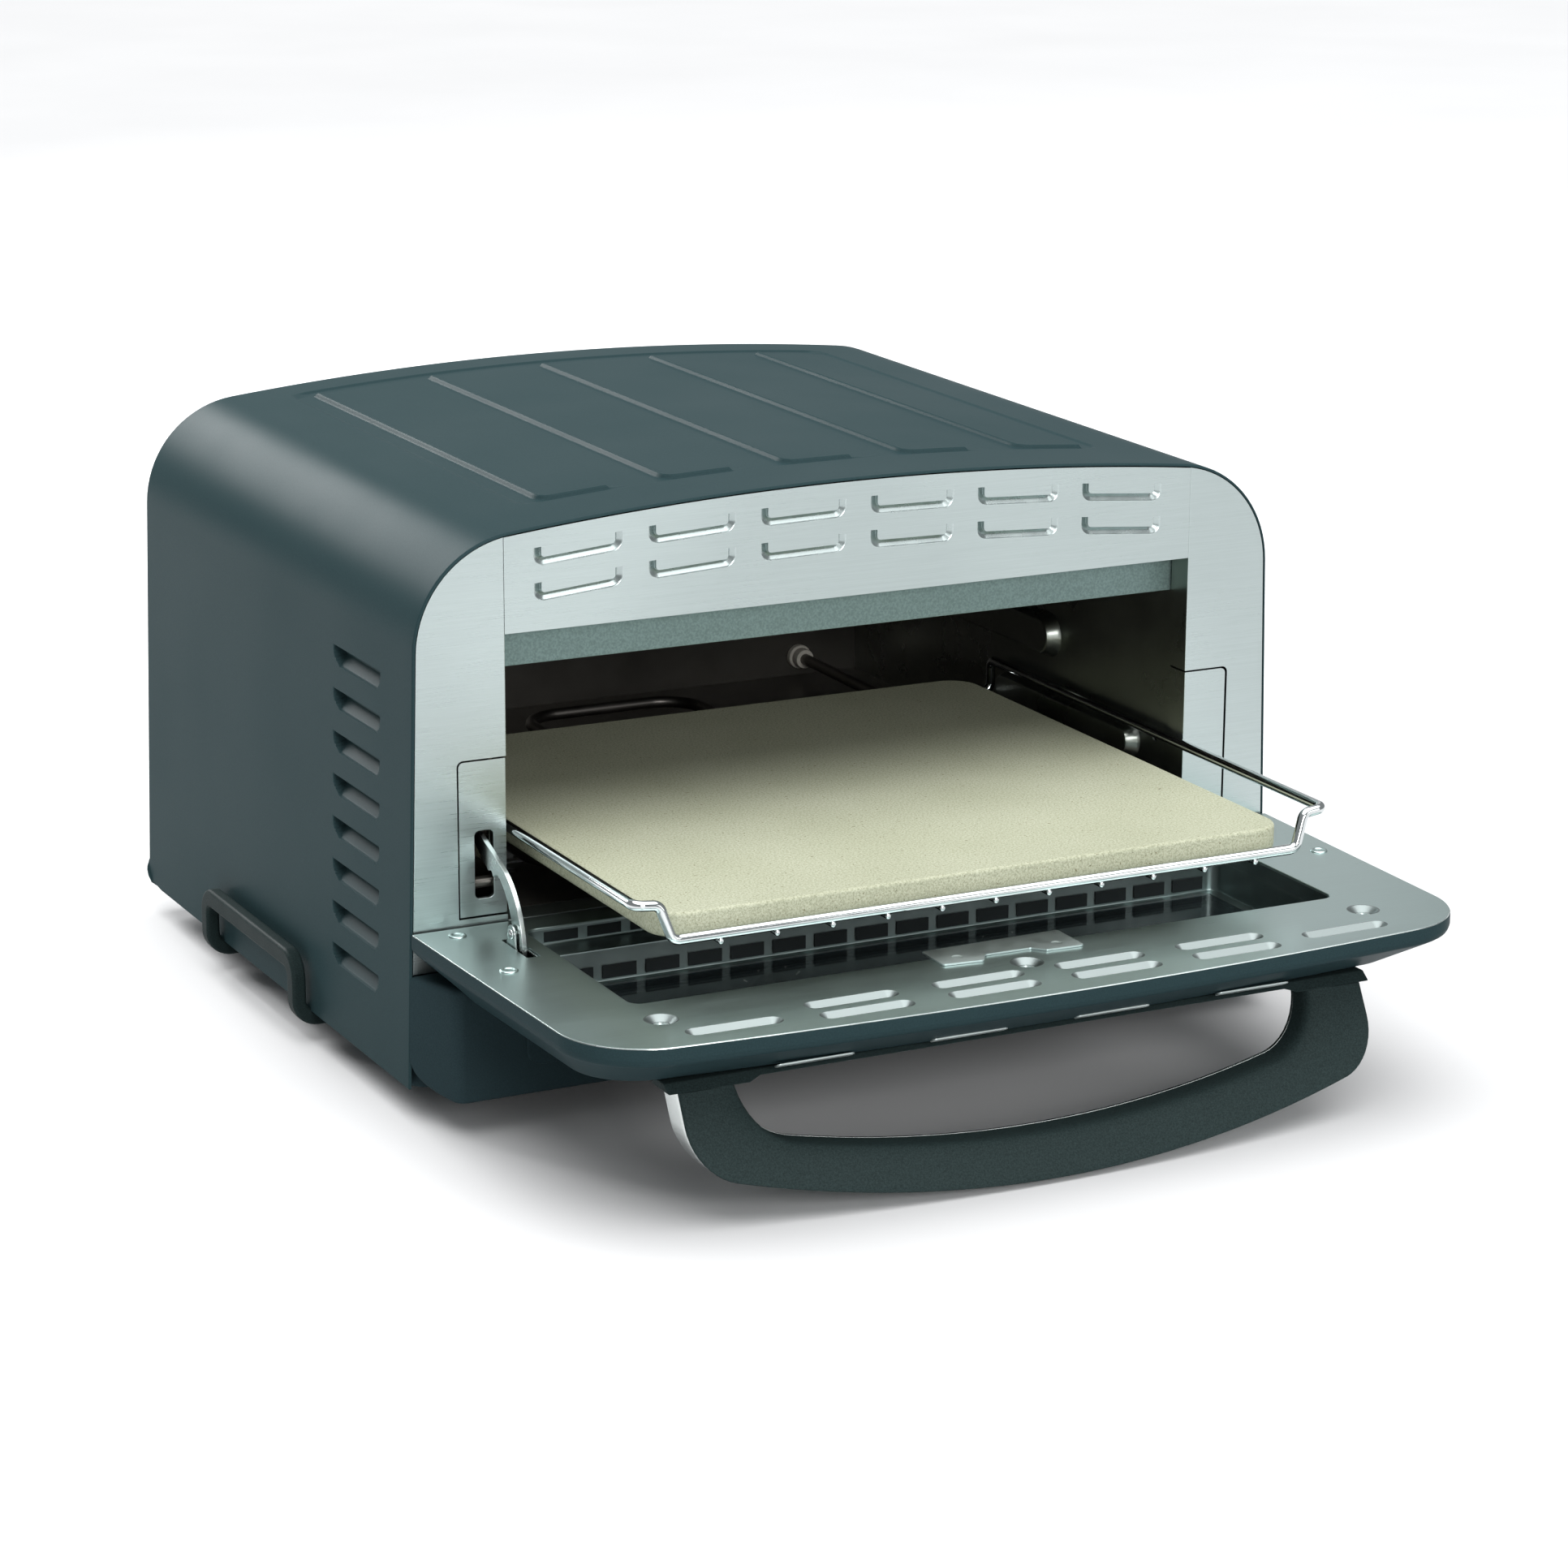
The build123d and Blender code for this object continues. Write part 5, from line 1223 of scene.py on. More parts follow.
def make_handle_bar():
    """The bar under the door that the bow stands on: two long pads joined by a thinner strip."""
    high = OUT_Z - 0.1
    near, far = BOW_FRONT + BOW_D, -168.2
    profile = ((far, high), (BOW_FRONT, OUT_Z - 4.0), (near, OUT_Z - 4.0), (near, high))
    thin = ((far, high), (-171.2, OUT_Z - 2.3), (near, OUT_Z - 2.3), (near, high))
    stations = ((-184, profile), (-144, profile), (-138, thin), (138, thin), (144, profile), (184, profile))
    bm = bmesh.new()
    loft(bm, [ring(bm, [(x, y, z) for y, z in shape]) for x, shape in stations])
    face_outward(bm)
    object_from("handle_mount_bar", bm, "grip", "door", ("handle_base",), edge=0.7)


make_handle()
make_handle_bar()


# ------------------------------------------------------------------ cavity
CAV_HALF = 187.0
CAV_Y = (17.0, 360.0)
CAV_Z = (SILL_Z, SILL_Z + 125.0)
GUIDES = ((44.0, 186.0, SILL_Z + 23.0, SILL_Z + 40.8, 8.6),
          (126.0, 344.0, SILL_Z + 56.5, SILL_Z + 80.5, 11.6))         # y range, z range, corner radius
GUIDE_LEVELS = ((0.3, 0.4), (1.0, 1.6), (2.4, 5.2), (3.2, 6.8), (4.6, 7.4))     # inset, reach
WALL_HOLES = ((30.0, SILL_Z + 38.0), (150.0, SILL_Z + 92.0))


def make_side_wall(side, name, nodes):
    """Side lining with its two pressed rack guides and its fixing holes."""
    place = lambda u, v, d: (side * (CAV_HALF + d), u, v)
    outline = [(CAV_Y[0], CAV_Z[0]), (CAV_Y[1], CAV_Z[0]), (CAV_Y[1], CAV_Z[1]), (CAV_Y[0], CAV_Z[1])]
    holes = [rounded_rect(y0, y1, z0, z1, r, 8) for y0, y1, z0, z1, r in GUIDES]
    holes += [circle(y, z, 2.0, 20) for y, z in WALL_HOLES]
    bm, rings = filled(outline, holes, place)
    for (*rect, r), loop in zip(GUIDES, rings):
        dish(bm, loop, [(inset_rect(rect, e, r, 8), -d) for e, d in GUIDE_LEVELS], place)
    for (y, z), loop in zip(WALL_HOLES, rings[2:]):
        dish(bm, loop, [(circle(y, z, r, 20), d) for r, d in ((1.8, 0.2), (1.7, 0.9))], place, close=False)
    face_outward(bm, (-side, 0, 0))
    object_from(name, bm, "liner", "oven", nodes, 30, thick=0.7)


ROD_R = 3.2
ROD_XS = (-150.0, -50.0, 50.0, 150.0)
ROD_REAR = 368.0
ROD_TURN = 300.0
BUSHING = ((3.3, 350.0), (5.2, 350.0), (5.6, 350.6), (5.6, 355.4), (6.6, 356.0), (6.9, 356.6), (6.9, 359.4),
           (3.3, 359.6))


def make_heating_rod(name, node, z, front):
    """One bent heating rod, with ceramic bushings where it leaves through the back wall."""
    a, b, c, d = ROD_XS
    plan = [(a, ROD_REAR), (a, front), (b, front), (b, ROD_TURN), (c, ROD_TURN), (c, front), (d, front),
            (d, ROD_REAR)]
    path = [(x, y, z) for x, y in plan]
    bm = bmesh.new()
    tube(bm, filleted(path, 22.0, 12), ROD_R, 20)
    face_outward(bm)
    object_from(name, bm, "element", "oven", (node,), 50)
    bm = bmesh.new()
    for x in (a, d):
        lathe(bm, (x, 0, z), BUSHING, "Y", 28)
    face_outward(bm)
    object_from(name + "_bushings", bm, "ceramic", "oven", (), 40)


make_side_wall(-1, "cavity_side_left", ("cavity_wall_left", "guide_lower_left", "guide_upper_left"))
make_side_wall(1, "cavity_side_right", ("cavity_wall_right", "guide_lower_right", "guide_upper_right"))
make_heating_rod("heating_rod_lower", "element_lower", SILL_Z + 11.0, 40.0)
make_heating_rod("heating_rod_upper", "element_upper", SILL_Z + 110.0, 60.0)

# ------------------------------------------------------------------ rack and stone
RAIL_X = 181.5
RAIL_Z = SILL_Z + 43.4
BAR_Y = -136.1
BAR_Z = SILL_Z + 26.1
BAR_HALF = 164.2
RACK_REAR = 191.0
WIRE_R = 2.5
ROD_PITCH = 28.2
RUNG_Z = SILL_Z + 22.9


def make_rack():
    """Wire frame with a lowered front bar, and the rungs that carry the stone."""
    half = [(BAR_HALF, BAR_Y, BAR_Z), (169.8, BAR_Y + 2.2, RAIL_Z - 1.0), (RAIL_X, BAR_Y + 3.0, RAIL_Z),
            (RAIL_X, RACK_REAR, RAIL_Z), (RAIL_X, RACK_REAR, BAR_Z)]
    path = half + [(-x, y, z) for x, y, z in reversed(half)]
    bm = bmesh.new()
    tube(bm, filleted(path, 4.6, 8, closed=True), WIRE_R, 20, closed=True)
    face_outward(bm)
    object_from("rack_wire_frame", bm, "chrome", "rack", ("rack_frame",), 60)
    bm = bmesh.new()
    for i in range(-5, 6):
        tube(bm, [(i * ROD_PITCH, y, RUNG_Z) for y in (BAR_Y - 1.4, 0.0, RACK_REAR + 2.0)], 1.5, 14)
    for y in (-20.0, 85.0):
        tube(bm, [(x, y, RUNG_Z) for x in (-5 * ROD_PITCH - 3, 0.0, 5 * ROD_PITCH + 3)], 1.5, 14)
    face_outward(bm)
    object_from("rack_wire_rungs", bm, "chrome", "rack", ("rack_rods",), 60)


STONE = (-168.0, 162.5, -131.2, 187.0)
STONE_R = 16.0
STONE_LOW = SILL_Z + 24.45
STONE_T = 12.0


def make_stone():
    """The cordierite slab, with a broken edge all round and rounded corners."""
    top = STONE_LOW + STONE_T
    outline = lambda e: inset_rect(STONE, e, STONE_R, 12)
    levels = ((2.2, STONE_LOW), (0.9, STONE_LOW + 0.3), (0.25, STONE_LOW + 1.0), (0.0, STONE_LOW + 2.2),
              (0.0, top - 1.9), (0.2, top - 0.9), (0.8, top - 0.25), (1.9, top))
    bm = bmesh.new()
    plate(bm, outline, lambda u, v, d: (u, v, d), levels)
    face_outward(bm)
    object_from("stone_slab", bm, "stone", "stone", ("pizza_stone",), 60)


make_rack()
make_stone()

# ------------------------------------------------------------------ hinge arm of the door
ARM_X = (-198.2, -195.8)
ARM_OUT = 40.8
PIN_Y = -36.7
PIN_Z = SILL_Z + 5.5
ARM_PIN = ((0.5, -201.1), (1.9, -200.9), (2.5, -200.4), (2.6, -199.95), (1.55, -199.9), (1.55, -194.1),
           (2.4, -194.05), (2.3, -193.6), (1.6, -193.2), (0.5, -193.1))       # radius, x


def make_hinge_arm():
    """Curved stay: a blade that narrows to its tip, with two catch notches in its inner edge."""
    # every point is (radius, angle in degrees) about the door's hinge line
    outer = [(ARM_OUT, 184 - 6 * i) for i in range(12)]
    outer += [(40.6, 108.0), (41.2, 101.0), (42.2, 95.0), (43.6, 89.0), (45.5, 83.5), (47.6, 78.5),
              (48.4, 75.0)]
    tip = [(48.0, 70.5), (46.6, 68.5), (44.4, 68.8), (41.0, 72.6), (37.9, 76.6), (34.6, 83.0), (31.7, 91.4)]
    catch = [(31.4, 92.6), (31.6, 93.6), (32.6, 97.6), (32.6, 99.3), (31.9, 100.6), (30.8, 103.0),
             (30.8, 104.2), (31.7, 105.2), (33.4, 108.0), (34.2, 111.5)]
    strip = [(34.0, 119.2), (33.3, 127.2), (32.6, 136.6), (31.9, 145.3), (31.5, 152.1), (31.1, 160.0),
             (31.0, 168.0), (31.0, 176.0), (31.2, 184.0)]
    inner = tip + catch + strip
    outline = []
    for r, deg in outer + inner:
        outline.append((HINGE_Y + r * cos(radians(deg)), HINGE_Z + r * sin(radians(deg))))
    bm = bmesh.new()
    loft(bm, [ring(bm, [(x, y, z) for y, z in outline]) for x in ARM_X])
    face_outward(bm)
    object_from("hinge_stay", bm, "bright", "hinge_arm", ("hinge_arm",), 30, edge=0.3)


def make_arm_clevis():
    """Folded bracket under the door's sheet: two ears with the stay's pin between them."""
    bm = bmesh.new()
    for x0 in (-199.9, -195.1):
        ear = [(-42.0, SILL_Z - 1.6), (-31.4, SILL_Z - 1.6), (-32.2, SILL_Z + 4.0)]
        ear += [(PIN_Y + 4.4 * cos(radians(a)), PIN_Z + 4.4 * sin(radians(a))) for a in range(0, 181, 15)]
        ear += [(-41.2, SILL_Z + 4.0)]
        loft(bm, [ring(bm, [(x, y, z) for y, z in ear]) for x in (x0, x0 + 1.0)])
    for x0, x1 in ((-206.0, -199.5), (-194.5, -189.0)):
        box_shape(bm, x0, x1, -60.0, -24.0, SILL_Z - 1.9, SILL_Z - 0.9)
    for y0, y1 in ((-60.0, -58.0), (-26.0, -24.0)):
        box_shape(bm, -200.0, -194.0, y0, y1, SILL_Z - 1.9, SILL_Z - 0.9)
    face_outward(bm)
    object_from("arm_clevis", bm, "bright", "door", ("arm_bracket",), edge=0.25)
    bm = bmesh.new()
    lathe(bm, (0, PIN_Y, PIN_Z), ARM_PIN, "X", 20)
    face_outward(bm)
    object_from("arm_pin_rivet", bm, "bright", "door", ("arm_pin",), 45)


make_hinge_arm()
make_arm_clevis()

# ------------------------------------------------------------------ carry handles
GRIP_Y = (133.0, 259.0)
GRIP_X = 242.9
GRIP_Z = (12.3, 41.8)
GRIP_ROOT = 223
GRIP_SCREW = ((0.4, -2.2), (2.2, -2.6), (2.6, -3.4), (3.6, -3.7), (3.9, -3.2), (3.9, 0.0), (0.4, 0.2))


def make_carry_handle(side, name, node):
    """Moulded strap along the side; both legs turn in under the base."""
    low, high = GRIP_Z
    y0, y1 = GRIP_Y
    half = [(GRIP_ROOT, y0, low), (GRIP_X, y0, low), (GRIP_X, y0, high)]
    half += [(x, y1, z) for x, _, z in reversed(half)]
    path = filleted([(side * x, y, z) for x, y, z in half], [0, 11.0, 9.0, 9.0, 11.0, 0], 10)
    bm = bmesh.new()
    strap(bm, path, rounded_rect(-4.8, 4.8, -3.6, 3.6, 1.9, 5), (0, 1, 0))
    for y in GRIP_Y:
        lathe(bm, (side * 226.5, y, 12.0), GRIP_SCREW, "Z", 20)
    face_outward(bm)
    object_from(name, bm, "carry", "oven", (node,), 40)


make_carry_handle(-1, "carry_strap_left", "carry_handle_left")
make_carry_handle(1, "carry_strap_right", "carry_handle_right")

# ------------------------------------------------------------------ base: cover, bezel, knobs, lamps, feet
COVER_Y = -30.0
COVER_LOW = 16.0
COVER_TOP = 72.0
COVER_HALF = 236.6
COVER_CORNER = 14.0
KNOB_X = 62.0
KNOB_Z = 46.0


BEZEL = (-189.8, 189.8, 30.4, 61.6)


def make_base_cover():
    """Bay-fronted cover: flat face, a canted facet at each side, rounded lower outer corners."""
    corners = [(-COVER_HALF, -0.2, 0), (-225.0, COVER_Y, 0), (225.0, COVER_Y, 0), (COVER_HALF, -0.2, 0)]
    plan = filleted(corners, [0, 7.0, 7.0, 0], 8)
    side_run = [plan[0].lerp(plan[1], k / 10) for k in range(10)]
    front_run = [plan[9].lerp(plan[10], k / 12) for k in range(1, 12)]
    other_run = [plan[-2].lerp(plan[-1], k / 10) for k in range(1, 11)]
    points = side_run + list(plan[1:10]) + front_run + list(plan[10:19]) + other_run
    rows = []
    stations = [(0.0, 2.6), (0.25, 1.2), (0.9, 0.35), (2.0, 0.0), (14.0, 0.1), (30.0, 0.3), (46.0, 0.7),
                (52.8, 0.95), (54.4, 1.2), (55.4, 1.9), (56.0, 3.2)]
    for rise, inset in stations:
        share = rise / (COVER_TOP - COVER_LOW)
        row = []
        for p in points:
            over = min(COVER_CORNER - 0.1, max(0.0, abs(p.x) - (COVER_HALF - COVER_CORNER)))
            foot = COVER_LOW + COVER_CORNER - sqrt(COVER_CORNER ** 2 - over * over)
            z = foot + (COVER_TOP - foot) * share if rise > 2.5 else foot + rise
            pull = 1 - inset / HALF_W
            row.append((p.x * pull, min(-0.2, p.y + inset * min(1.0, -p.y / 12)), z))
        rows.append(row)
    back_low = [(x, -0.2, z) for x, _, z in rows[0]]
    back_top = [(x, -0.2, z) for x, _, z in rows[-1]]
    bm = bmesh.new()
    grid(bm, [back_low] + rows + [back_top])
    bmesh.ops.remove_doubles(bm, verts=bm.verts[:], dist=0.01)
    face_outward(bm, (0, -1, 0.1))
    object_from("base_front_cover", bm, "base", "oven", ("base_cover",), 45, thick=1.4)


def make_bezel():
    """Control strip set into the cover, with a scale of ticks round each knob."""
    place = lambda u, v, d: (u, COVER_Y + d, v)
    outline = lambda e: inset_rect(BEZEL, e, 8.0, 8)
    bm = bmesh.new()
    plate(bm, outline, place, ((0.0, 5.0), (0.0, -0.2), (0.15, -0.5), (0.6, -0.75), (1.4, -0.8)))
    collar = ((14.6, 0.0), (14.6, -0.9), (14.3, -1.1), (13.9, -1.1), (13.7, -0.85))
    for x in (-KNOB_X, KNOB_X):
        lathe(bm, (x, COVER_Y, KNOB_Z), collar, "Y", 48)
    face_outward(bm)
    object_from("control_strip", bm, "base", "oven", ("control_bezel",), 40)
    bm = bmesh.new()
    for x, sweep in ((-KNOB_X, 270), (KNOB_X, 300)):
        for i in range(11):
            a = radians(90 + sweep / 2 - sweep * i / 10)
            r0, r1 = 16.2, 18.6 if i % 5 else 19.6
            u = Vector((cos(a), 0, sin(a)))
            v = Vector((-sin(a), 0, cos(a))) * 0.4
            base = Vector((x, COVER_Y - 0.75, KNOB_Z))
            if abs(u.z * r1) > 14.6:
                r1 = 14.6 / abs(u.z)
            if r1 - r0 < 0.8:
                r0 = r1 - 0.8
            front = [base + u * r0 - v, base + u * r1 - v, base + u * r1 + v, base + u * r0 + v]
            loft(bm, [ring(bm, [tuple(p + Vector((0, d, 0))) for p in front]) for d in (0.0, -0.2)])
    face_outward(bm)
    object_from("control_scale", bm, "mark", "oven", (), edge=0.04, segments=1)


def make_knob(x, name, node, body):
    """Skirted knob with a fluted side, a raised grip bar and a pointer line."""
    centre = (x, COVER_Y, KNOB_Z)
    bm = bmesh.new()
    profile = ((3.0, 13.5), (3.0, -0.9), (12.6, -0.9), (13.0, -1.3), (13.0, -3.2), (12.6, -3.8), (11.2, -4.1),
               (10.6, -4.8), (10.0, -9.0), (9.6, -11.9), (9.0, -12.7), (8.0, -12.95), (0.4, -12.95))
    lathe(bm, centre, profile, "Y", 144, 24, 0.55, (7, 8, 9))
    place = lambda u, v, d: (u, COVER_Y + d, v)
    grip = (x - 2.7, x + 2.7, KNOB_Z - 9.0, KNOB_Z + 9.0)
    levels = ((-0.5, -12.6), (-0.1, -13.1), (0.1, -14.2), (0.45, -14.75), (1.1, -14.95))
    plate(bm, lambda e: inset_rect(grip, e, 2.2, 5), place, levels)
    face_outward(bm)
    object_from(name, bm, "knob", body, (node,), 38)
    bm = bmesh.new()
    line = (x - 0.7, x + 0.7, KNOB_Z + 1.0, KNOB_Z + 8.0)
    plate(bm, lambda e: inset_rect(line, e, 0.6, 4), place, ((0.0, -14.6), (0.0, -15.15), (0.15, -15.3)))
    face_outward(bm)
    object_from(name + "_pointer", bm, "mark", body, (), 40)


def make_lamps():
    """Two domed lenses between the knobs."""
    profile = ((2.4, 5.0), (2.4, -0.7), (3.3, -0.75), (3.4, -1.1), (3.1, -1.6), (2.3, -2.1), (1.2, -2.4),
               (0.3, -2.45))
    bm = bmesh.new()
    for x in (-12.0, 12.0):
        lathe(bm, (x, COVER_Y, KNOB_Z), profile, "Y", 32)
    face_outward(bm)
    object_from("lamp_lenses", bm, "lens", "oven", ("indicator_lenses",), 60)


def make_feet():
    """Ribbed rubber feet with a recessed screw."""
    bm = bmesh.new()
    screws = bmesh.new()
    profile = ((0.3, 3.0), (4.2, 3.0), (4.6, 2.6), (4.8, 0.5), (5.3, 0.0), (11.4, 0.0), (12.6, 0.4),
               (13.0, 1.4), (13.2, 4.0), (12.8, 4.4), (12.8, 5.0), (13.4, 5.4), (13.8, 8.6), (13.4, 9.0),
               (13.4, 9.6), (14.0, 10.0), (14.8, 14.4), (14.6, 15.6), (14.0, 15.9), (0.3, 15.9))
    screw = ((0.4, 3.05), (1.0, 3.0), (1.2, 1.9), (2.4, 1.9), (3.3, 2.3), (3.6, 3.1))
    for x in (-185.0, 185.0):
        for y in (55.0, 320.0):
            lathe(bm, (x, y, 0), profile, "Z", 40)
            lathe(screws, (x, y, 0), screw, "Z", 24)
    face_outward(bm)
    face_outward(screws)
    object_from("rubber_feet", bm, "rubber", "oven", ("feet",), 40)
    object_from("foot_screws", screws, "bright", "oven", (), 40)


make_base_cover()
make_bezel()
make_knob(-KNOB_X, "temperature_knob", "knob_temperature", "knob_temperature")
make_knob(KNOB_X, "timer_knob", "knob_timer", "knob_timer")
make_lamps()
make_feet()

# ------------------------------------------------------------------ back
REAR_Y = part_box("rear_panel")[1].y * 1000 - FRONT_Y * 1000
REAR_SCREWS = ((-205, 45), (205, 45), (-205, 150), (205, 150), (-180, 255), (180, 255), (0, 272), (0, 40))
GLAND = (170.0, 60.0)
REAR_FIELD = (-190.0, 190.0, 86.0, 252.0)
REAR_FIELD_R = 14.0
REAR_VENTS = [(x - 28, x + 28, z - 2, z + 2)
              for x in (-120.0, -40.0, 40.0, 120.0) for z in (175.0 + 12.0 * i for i in range(6))]


def make_rear_panel():
    """Back sheet: shallow pressed field, six rows of vents with turned-in edges, and the cord's hole."""
    arc = fascia_outline(1.9)
    half = [(half_w(30.0) - 1.9, 30.0)] + arc
    half += [(x, arch_z(x, 1.9)) for x in spaced(arc[-1][0], 0.0, 9.0)[1:]]
    outline = half + [(-x, z) for x, z in reversed(half[:-1])]
    place = lambda u, v, d: (u, REAR_Y - d, v)
    holes = [rounded_rect(*REAR_FIELD, REAR_FIELD_R, 8)]
    holes += [circle(*GLAND, 8.0, 32)]
    holes += [circle(x, z, 1.9, 16) for x, z in REAR_SCREWS]
    bm, rings = filled(outline, holes, place)
    last = rings[0]
    for e, d in ((0.6, 0.15), (1.4, 0.7), (2.4, 1.15), (3.4, 1.3)):
        nxt = ring(bm, [place(u, v, d) for u, v in inset_rect(REAR_FIELD, e, REAR_FIELD_R, 8)])
        bridge(bm, last, nxt)
        last = nxt
    loops = [ring(bm, [place(u, v, 1.3) for u, v in rounded_rect(*vent, 1.95, 5)]) for vent in REAR_VENTS]
    edges = []
    for loop in [last] + loops:
        n = len(loop)
        for i in range(n):
            a, b = loop[i], loop[(i + 1) % n]
            edges.append(bm.edges.get((a, b)) or bm.edges.new((a, b)))
    bmesh.ops.triangle_fill(bm, use_beauty=True, use_dissolve=False, edges=edges)
    for vent, loop in zip(REAR_VENTS, loops):
        lip = [(inset_rect(vent, e, 1.95, 5), 1.3 + d) for e, d in ((0.2, 0.1), (0.4, 0.5), (0.45, 1.9))]
        dish(bm, loop, lip, place, close=False)
    face_outward(bm, (0, 1, 0))
    object_from("rear_sheet", bm, "zinc", "oven", ("rear_panel",), 40, thick=0.8)


def cross_outline(cx, cz, arm, half):
    """Outline of a cross recess."""
    quarter = [(arm, -half), (arm, half), (half, half)]
    out = []
    for k in range(4):
        c, s = cos(k * pi / 2), sin(k * pi / 2)
        out += [(cx + u * c - v * s, cz + u * s + v * c) for u, v in quarter]
    return out


def make_rear_screws():
    """Pan heads with a cross recess."""
    bm = bmesh.new()
    for x, z in REAR_SCREWS:
        place = lambda u, v, d: (u, REAR_Y + 1.9 - d, v)
        head, rings = filled(circle(x, z, 2.3, 24), [cross_outline(x, z, 1.5, 0.42)], place)
        dish(head, rings[0], [(cross_outline(x, z, 1.2, 0.3), 1.0)], place)
        rim = [v for v in head.verts if abs(hypot((v.co.x - x), (v.co.z - z)) - 2.3) < 0.01]
        turn = lambda v: atan2(v.co.z - z, v.co.x - x)
        rim.sort(key=turn)
        last = rim
        for r, d in ((2.9, 0.25), (3.4, 0.8), (3.6, 1.4), (3.6, 1.85)):
            nxt = ring(head, [place(x + r * cos(turn(v)), z + r * sin(turn(v)), d) for v in rim])
            bridge(head, last, nxt)
            last = nxt
        head.faces.new(last)
        part = bpy.data.meshes.new("head")
        head.to_mesh(part)
        head.free()
        bm.from_mesh(part)
        bpy.data.meshes.remove(part)
    face_outward(bm)
    object_from("rear_screw_heads", bm, "bright", "oven", ("rear_screws",), 40)


def make_gland():
    """Cord bush with a flange and gripping ribs; the cord itself isn't part of the model."""
    x, z = GLAND
    profile = ((7.6, -5.5), (7.8, -0.2), (10.6, 0.1), (11.0, 0.5), (11.0, 1.6), (10.4, 2.2), (8.6, 2.4),
               (8.2, 2.8),
               (7.4, 4.6), (6.6, 5.0), (4.6, 5.0), (4.0, 4.6), (3.7, 3.6), (3.6, -5.0))
    bm = bmesh.new()
    lathe(bm, (x, REAR_Y, z), profile, "Y", 72, 12, 0.7, (4, 5))
    for face in [f for f in bm.faces if len(f.verts) > 8]:
        bm.faces.remove(face)
    loops = [[v for v in bm.verts if abs(v.co.y - (REAR_Y + d)) < 0.001] for d in (-5.5, -5.0)]
    for loop in loops:
        loop.sort(key=lambda v: atan2(v.co.z - z, v.co.x - x))
    bridge(bm, loops[0], loops[1])
    face_outward(bm)
    object_from("cord_bush", bm, "knob", "oven", ("cord_gland",), 40)


make_rear_panel()
make_rear_screws()
make_gland()


# ------------------------------------------------------------------ CAD nodes whose shape is right
KEPT = {
    "base_pan": ("base", 0.3), "cavity_floor": ("cavity", 0.2), "cavity_roof": ("cavity", 0.2),
    "cavity_back": ("cavity", 0.2), "element_brackets": ("zinc", 0.2), "insulation": ("wool", 2.0),
    "thermostat": ("control", 0.8), "timer": ("control", 0.8), "arm_guide": ("cavity", 0.2),
    "hinge_lugs": ("zinc", 0.2), "hinge_brackets": ("zinc", 0.2), "hinge_pins": ("bright", 0.1),
}
for node, (material, width) in KEPT.items():
    keep(node, material, width)


# ------------------------------------------------------------------ floor, light and camera
FLOOR_HALF = 6.0


def make_floor():
    """Plain pale paper under the oven."""
    bm = bmesh.new()
    bmesh.ops.create_grid(bm, x_segments=1, y_segments=1, size=FLOOR_HALF)
    mesh = bpy.data.meshes.new("floor")
    bm.to_mesh(mesh)
    bm.free()
    floor = bpy.data.objects.new("floor", mesh)
    bpy.context.scene.collection.objects.link(floor)
    mat, tree, shader = new_material("floor_paper")
    tone = noise(tree, 3.0, 2.0)
    paper = ramp(tree, tone, ((0.3, (0.63, 0.63, 0.635)), (0.7, (0.65, 0.65, 0.655))))
    link(tree, paper, shader.inputs["Base Color"])
    shader.inputs["Roughness"].default_value = 0.6
    shader.inputs["Specular IOR Level"].default_value = 0.15
    mesh.materials.append(mat)


def area_light(name, place, target, size, power, colour=(1, 1, 1)):
    data = bpy.data.lights.new(name, "AREA")
    data.shape = "RECTANGLE"
    data.size, data.size_y = size
    data.energy = power
    data.color = colour
    obj = bpy.data.objects.new(name, data)
    obj.location = place
    obj.rotation_euler = (Vector(target) - Vector(place)).to_track_quat("-Z", "Y").to_euler()
    bpy.context.scene.collection.objects.link(obj)


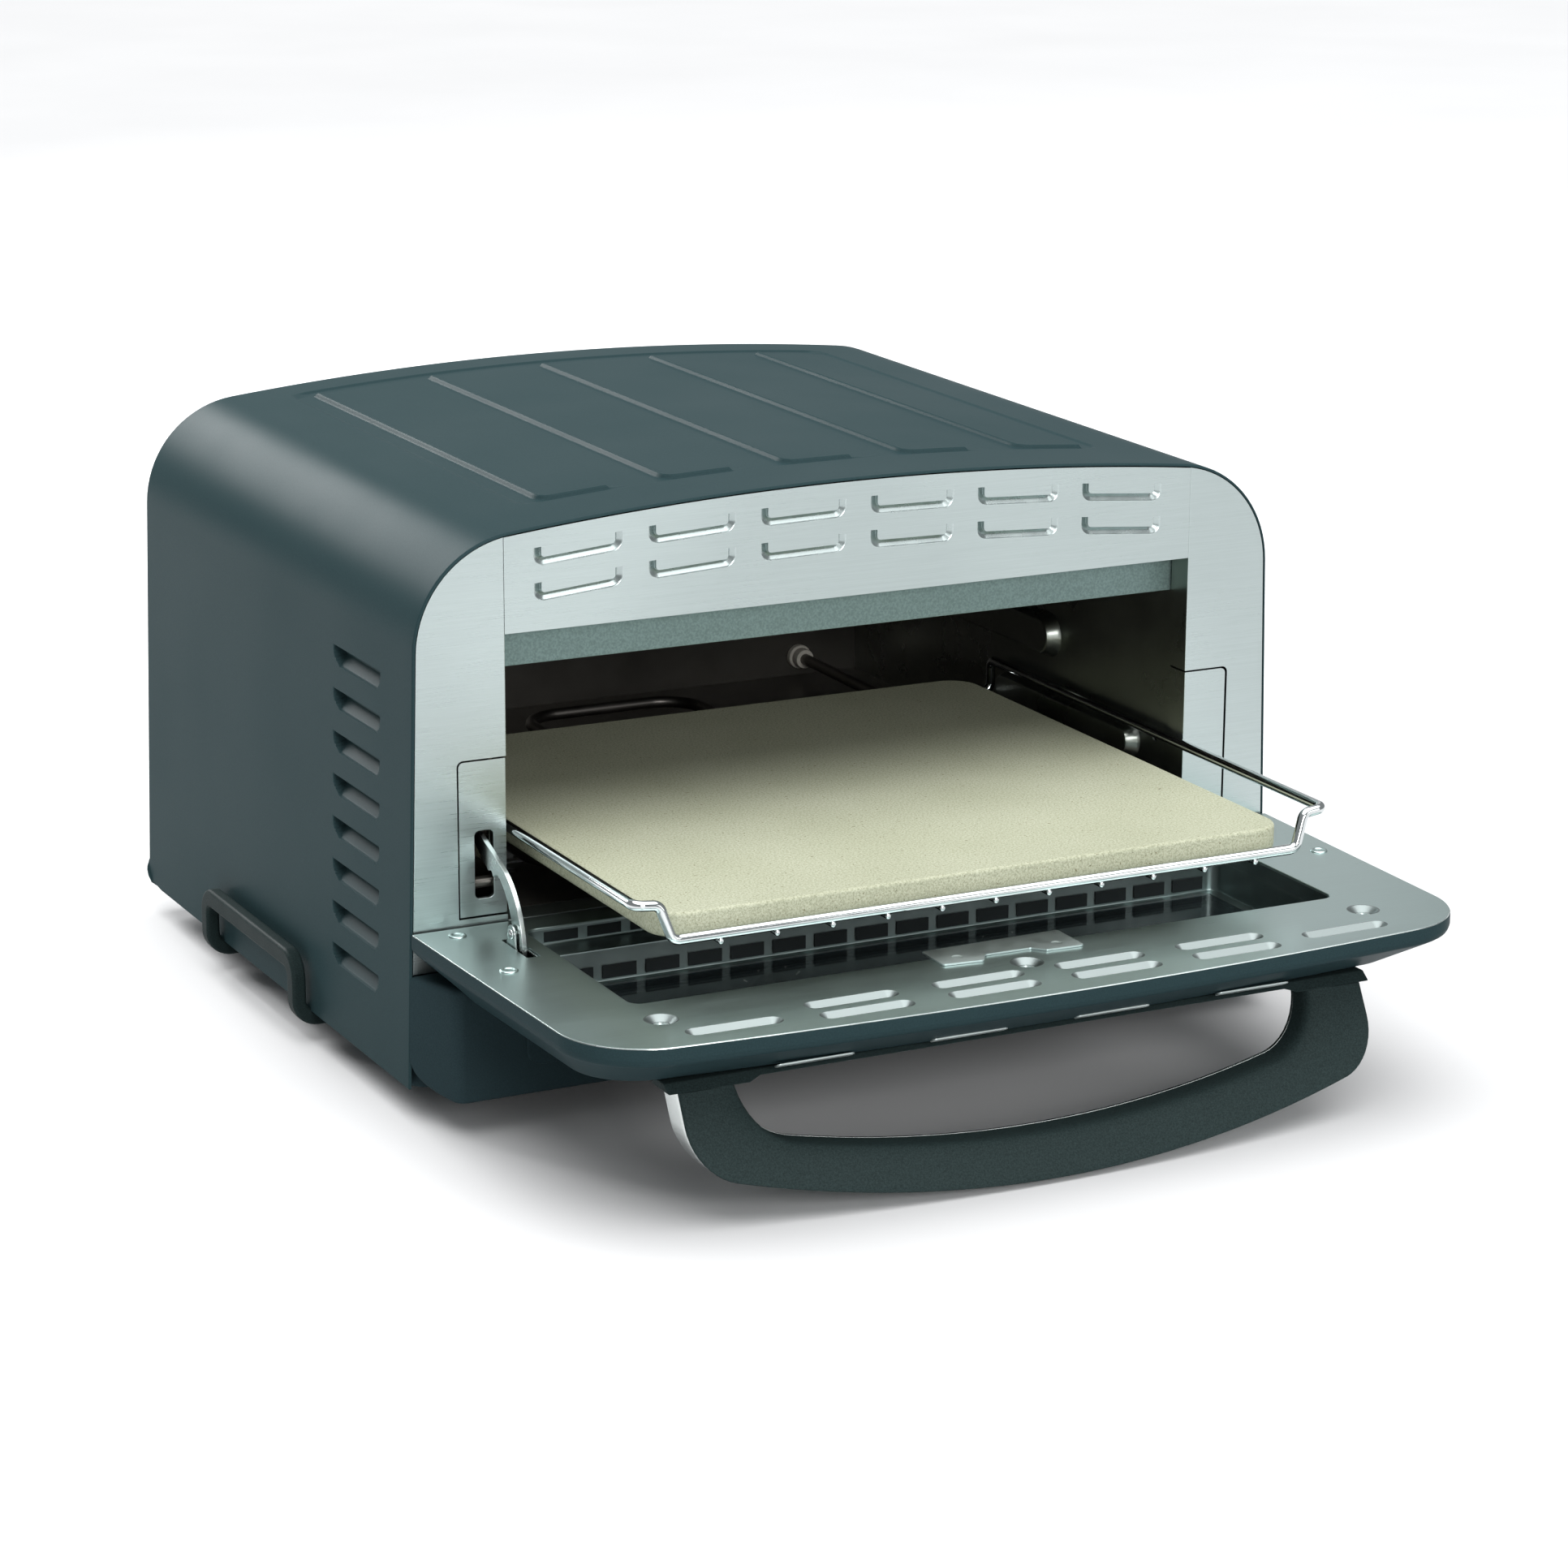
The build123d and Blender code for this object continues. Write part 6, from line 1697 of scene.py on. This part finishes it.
def soft_sun(name, direction, strength, spread):
    """Even light over the whole floor, from a direction. spread is its width in degrees."""
    data = bpy.data.lights.new(name, "SUN")
    data.energy = strength
    data.angle = radians(spread)
    obj = bpy.data.objects.new(name, data)
    obj.rotation_euler = (-Vector(direction)).to_track_quat("-Z", "Y").to_euler()
    bpy.context.scene.collection.objects.link(obj)


def make_light():
    world = bpy.data.worlds.new("studio")
    bpy.context.scene.world = world
    world.use_nodes = True
    world.node_tree.nodes["Background"].inputs["Color"].default_value = (0.94, 0.98, 1.0, 1)
    world.node_tree.nodes["Background"].inputs["Strength"].default_value = 0.30
    soft_sun("overhead", (0.05, -0.15, 1.0), 4.1, 75.0)
    area_light("back_left", (-0.75, 2.4, 1.3), (-0.1, 0.1, 0.2), (1.7, 0.9), 75)
    area_light("back_right", (1.2, 2.4, 1.1), (0, 0.15, 0.25), (1.6, 0.9), 1.8)
    area_light("front_fill", (-0.2, -2.6, 1.0), (0, 0, 0.15), (1.2, 0.8), 30)
    area_light("front_right", (1.5, -2.2, 0.9), (0, 0, 0.15), (0.9, 1.2), 6)


CAMERA_MM = (-958.1, -1813.7, 712.7)
CAMERA_YAW = 26.84
CAMERA_PITCH = 15.69
CAMERA_ROLL = -0.27
CAMERA_LENS = 100.57


def make_camera():
    yaw, pitch, roll = radians(CAMERA_YAW), radians(CAMERA_PITCH), radians(CAMERA_ROLL)
    ahead = Vector((sin(yaw) * cos(pitch), cos(yaw) * cos(pitch), -sin(pitch)))
    right = Vector((cos(yaw), -sin(yaw), 0))
    down = ahead.cross(right)
    right, down = right * cos(roll) + down * sin(roll), down * cos(roll) - right * sin(roll)
    data = bpy.data.cameras.new("camera")
    data.lens = CAMERA_LENS
    data.sensor_width = 36.0
    data.clip_end = 50.0
    camera = bpy.data.objects.new("camera", data)
    axes = Matrix((right, -down, -ahead)).transposed().to_4x4()
    camera.matrix_world = Matrix.Translation(to_frame(*CAMERA_MM)) @ axes
    bpy.context.scene.collection.objects.link(camera)
    bpy.context.scene.camera = camera


make_floor()
make_light()
make_camera()
bpy.context.scene.view_settings.view_transform = "Standard"
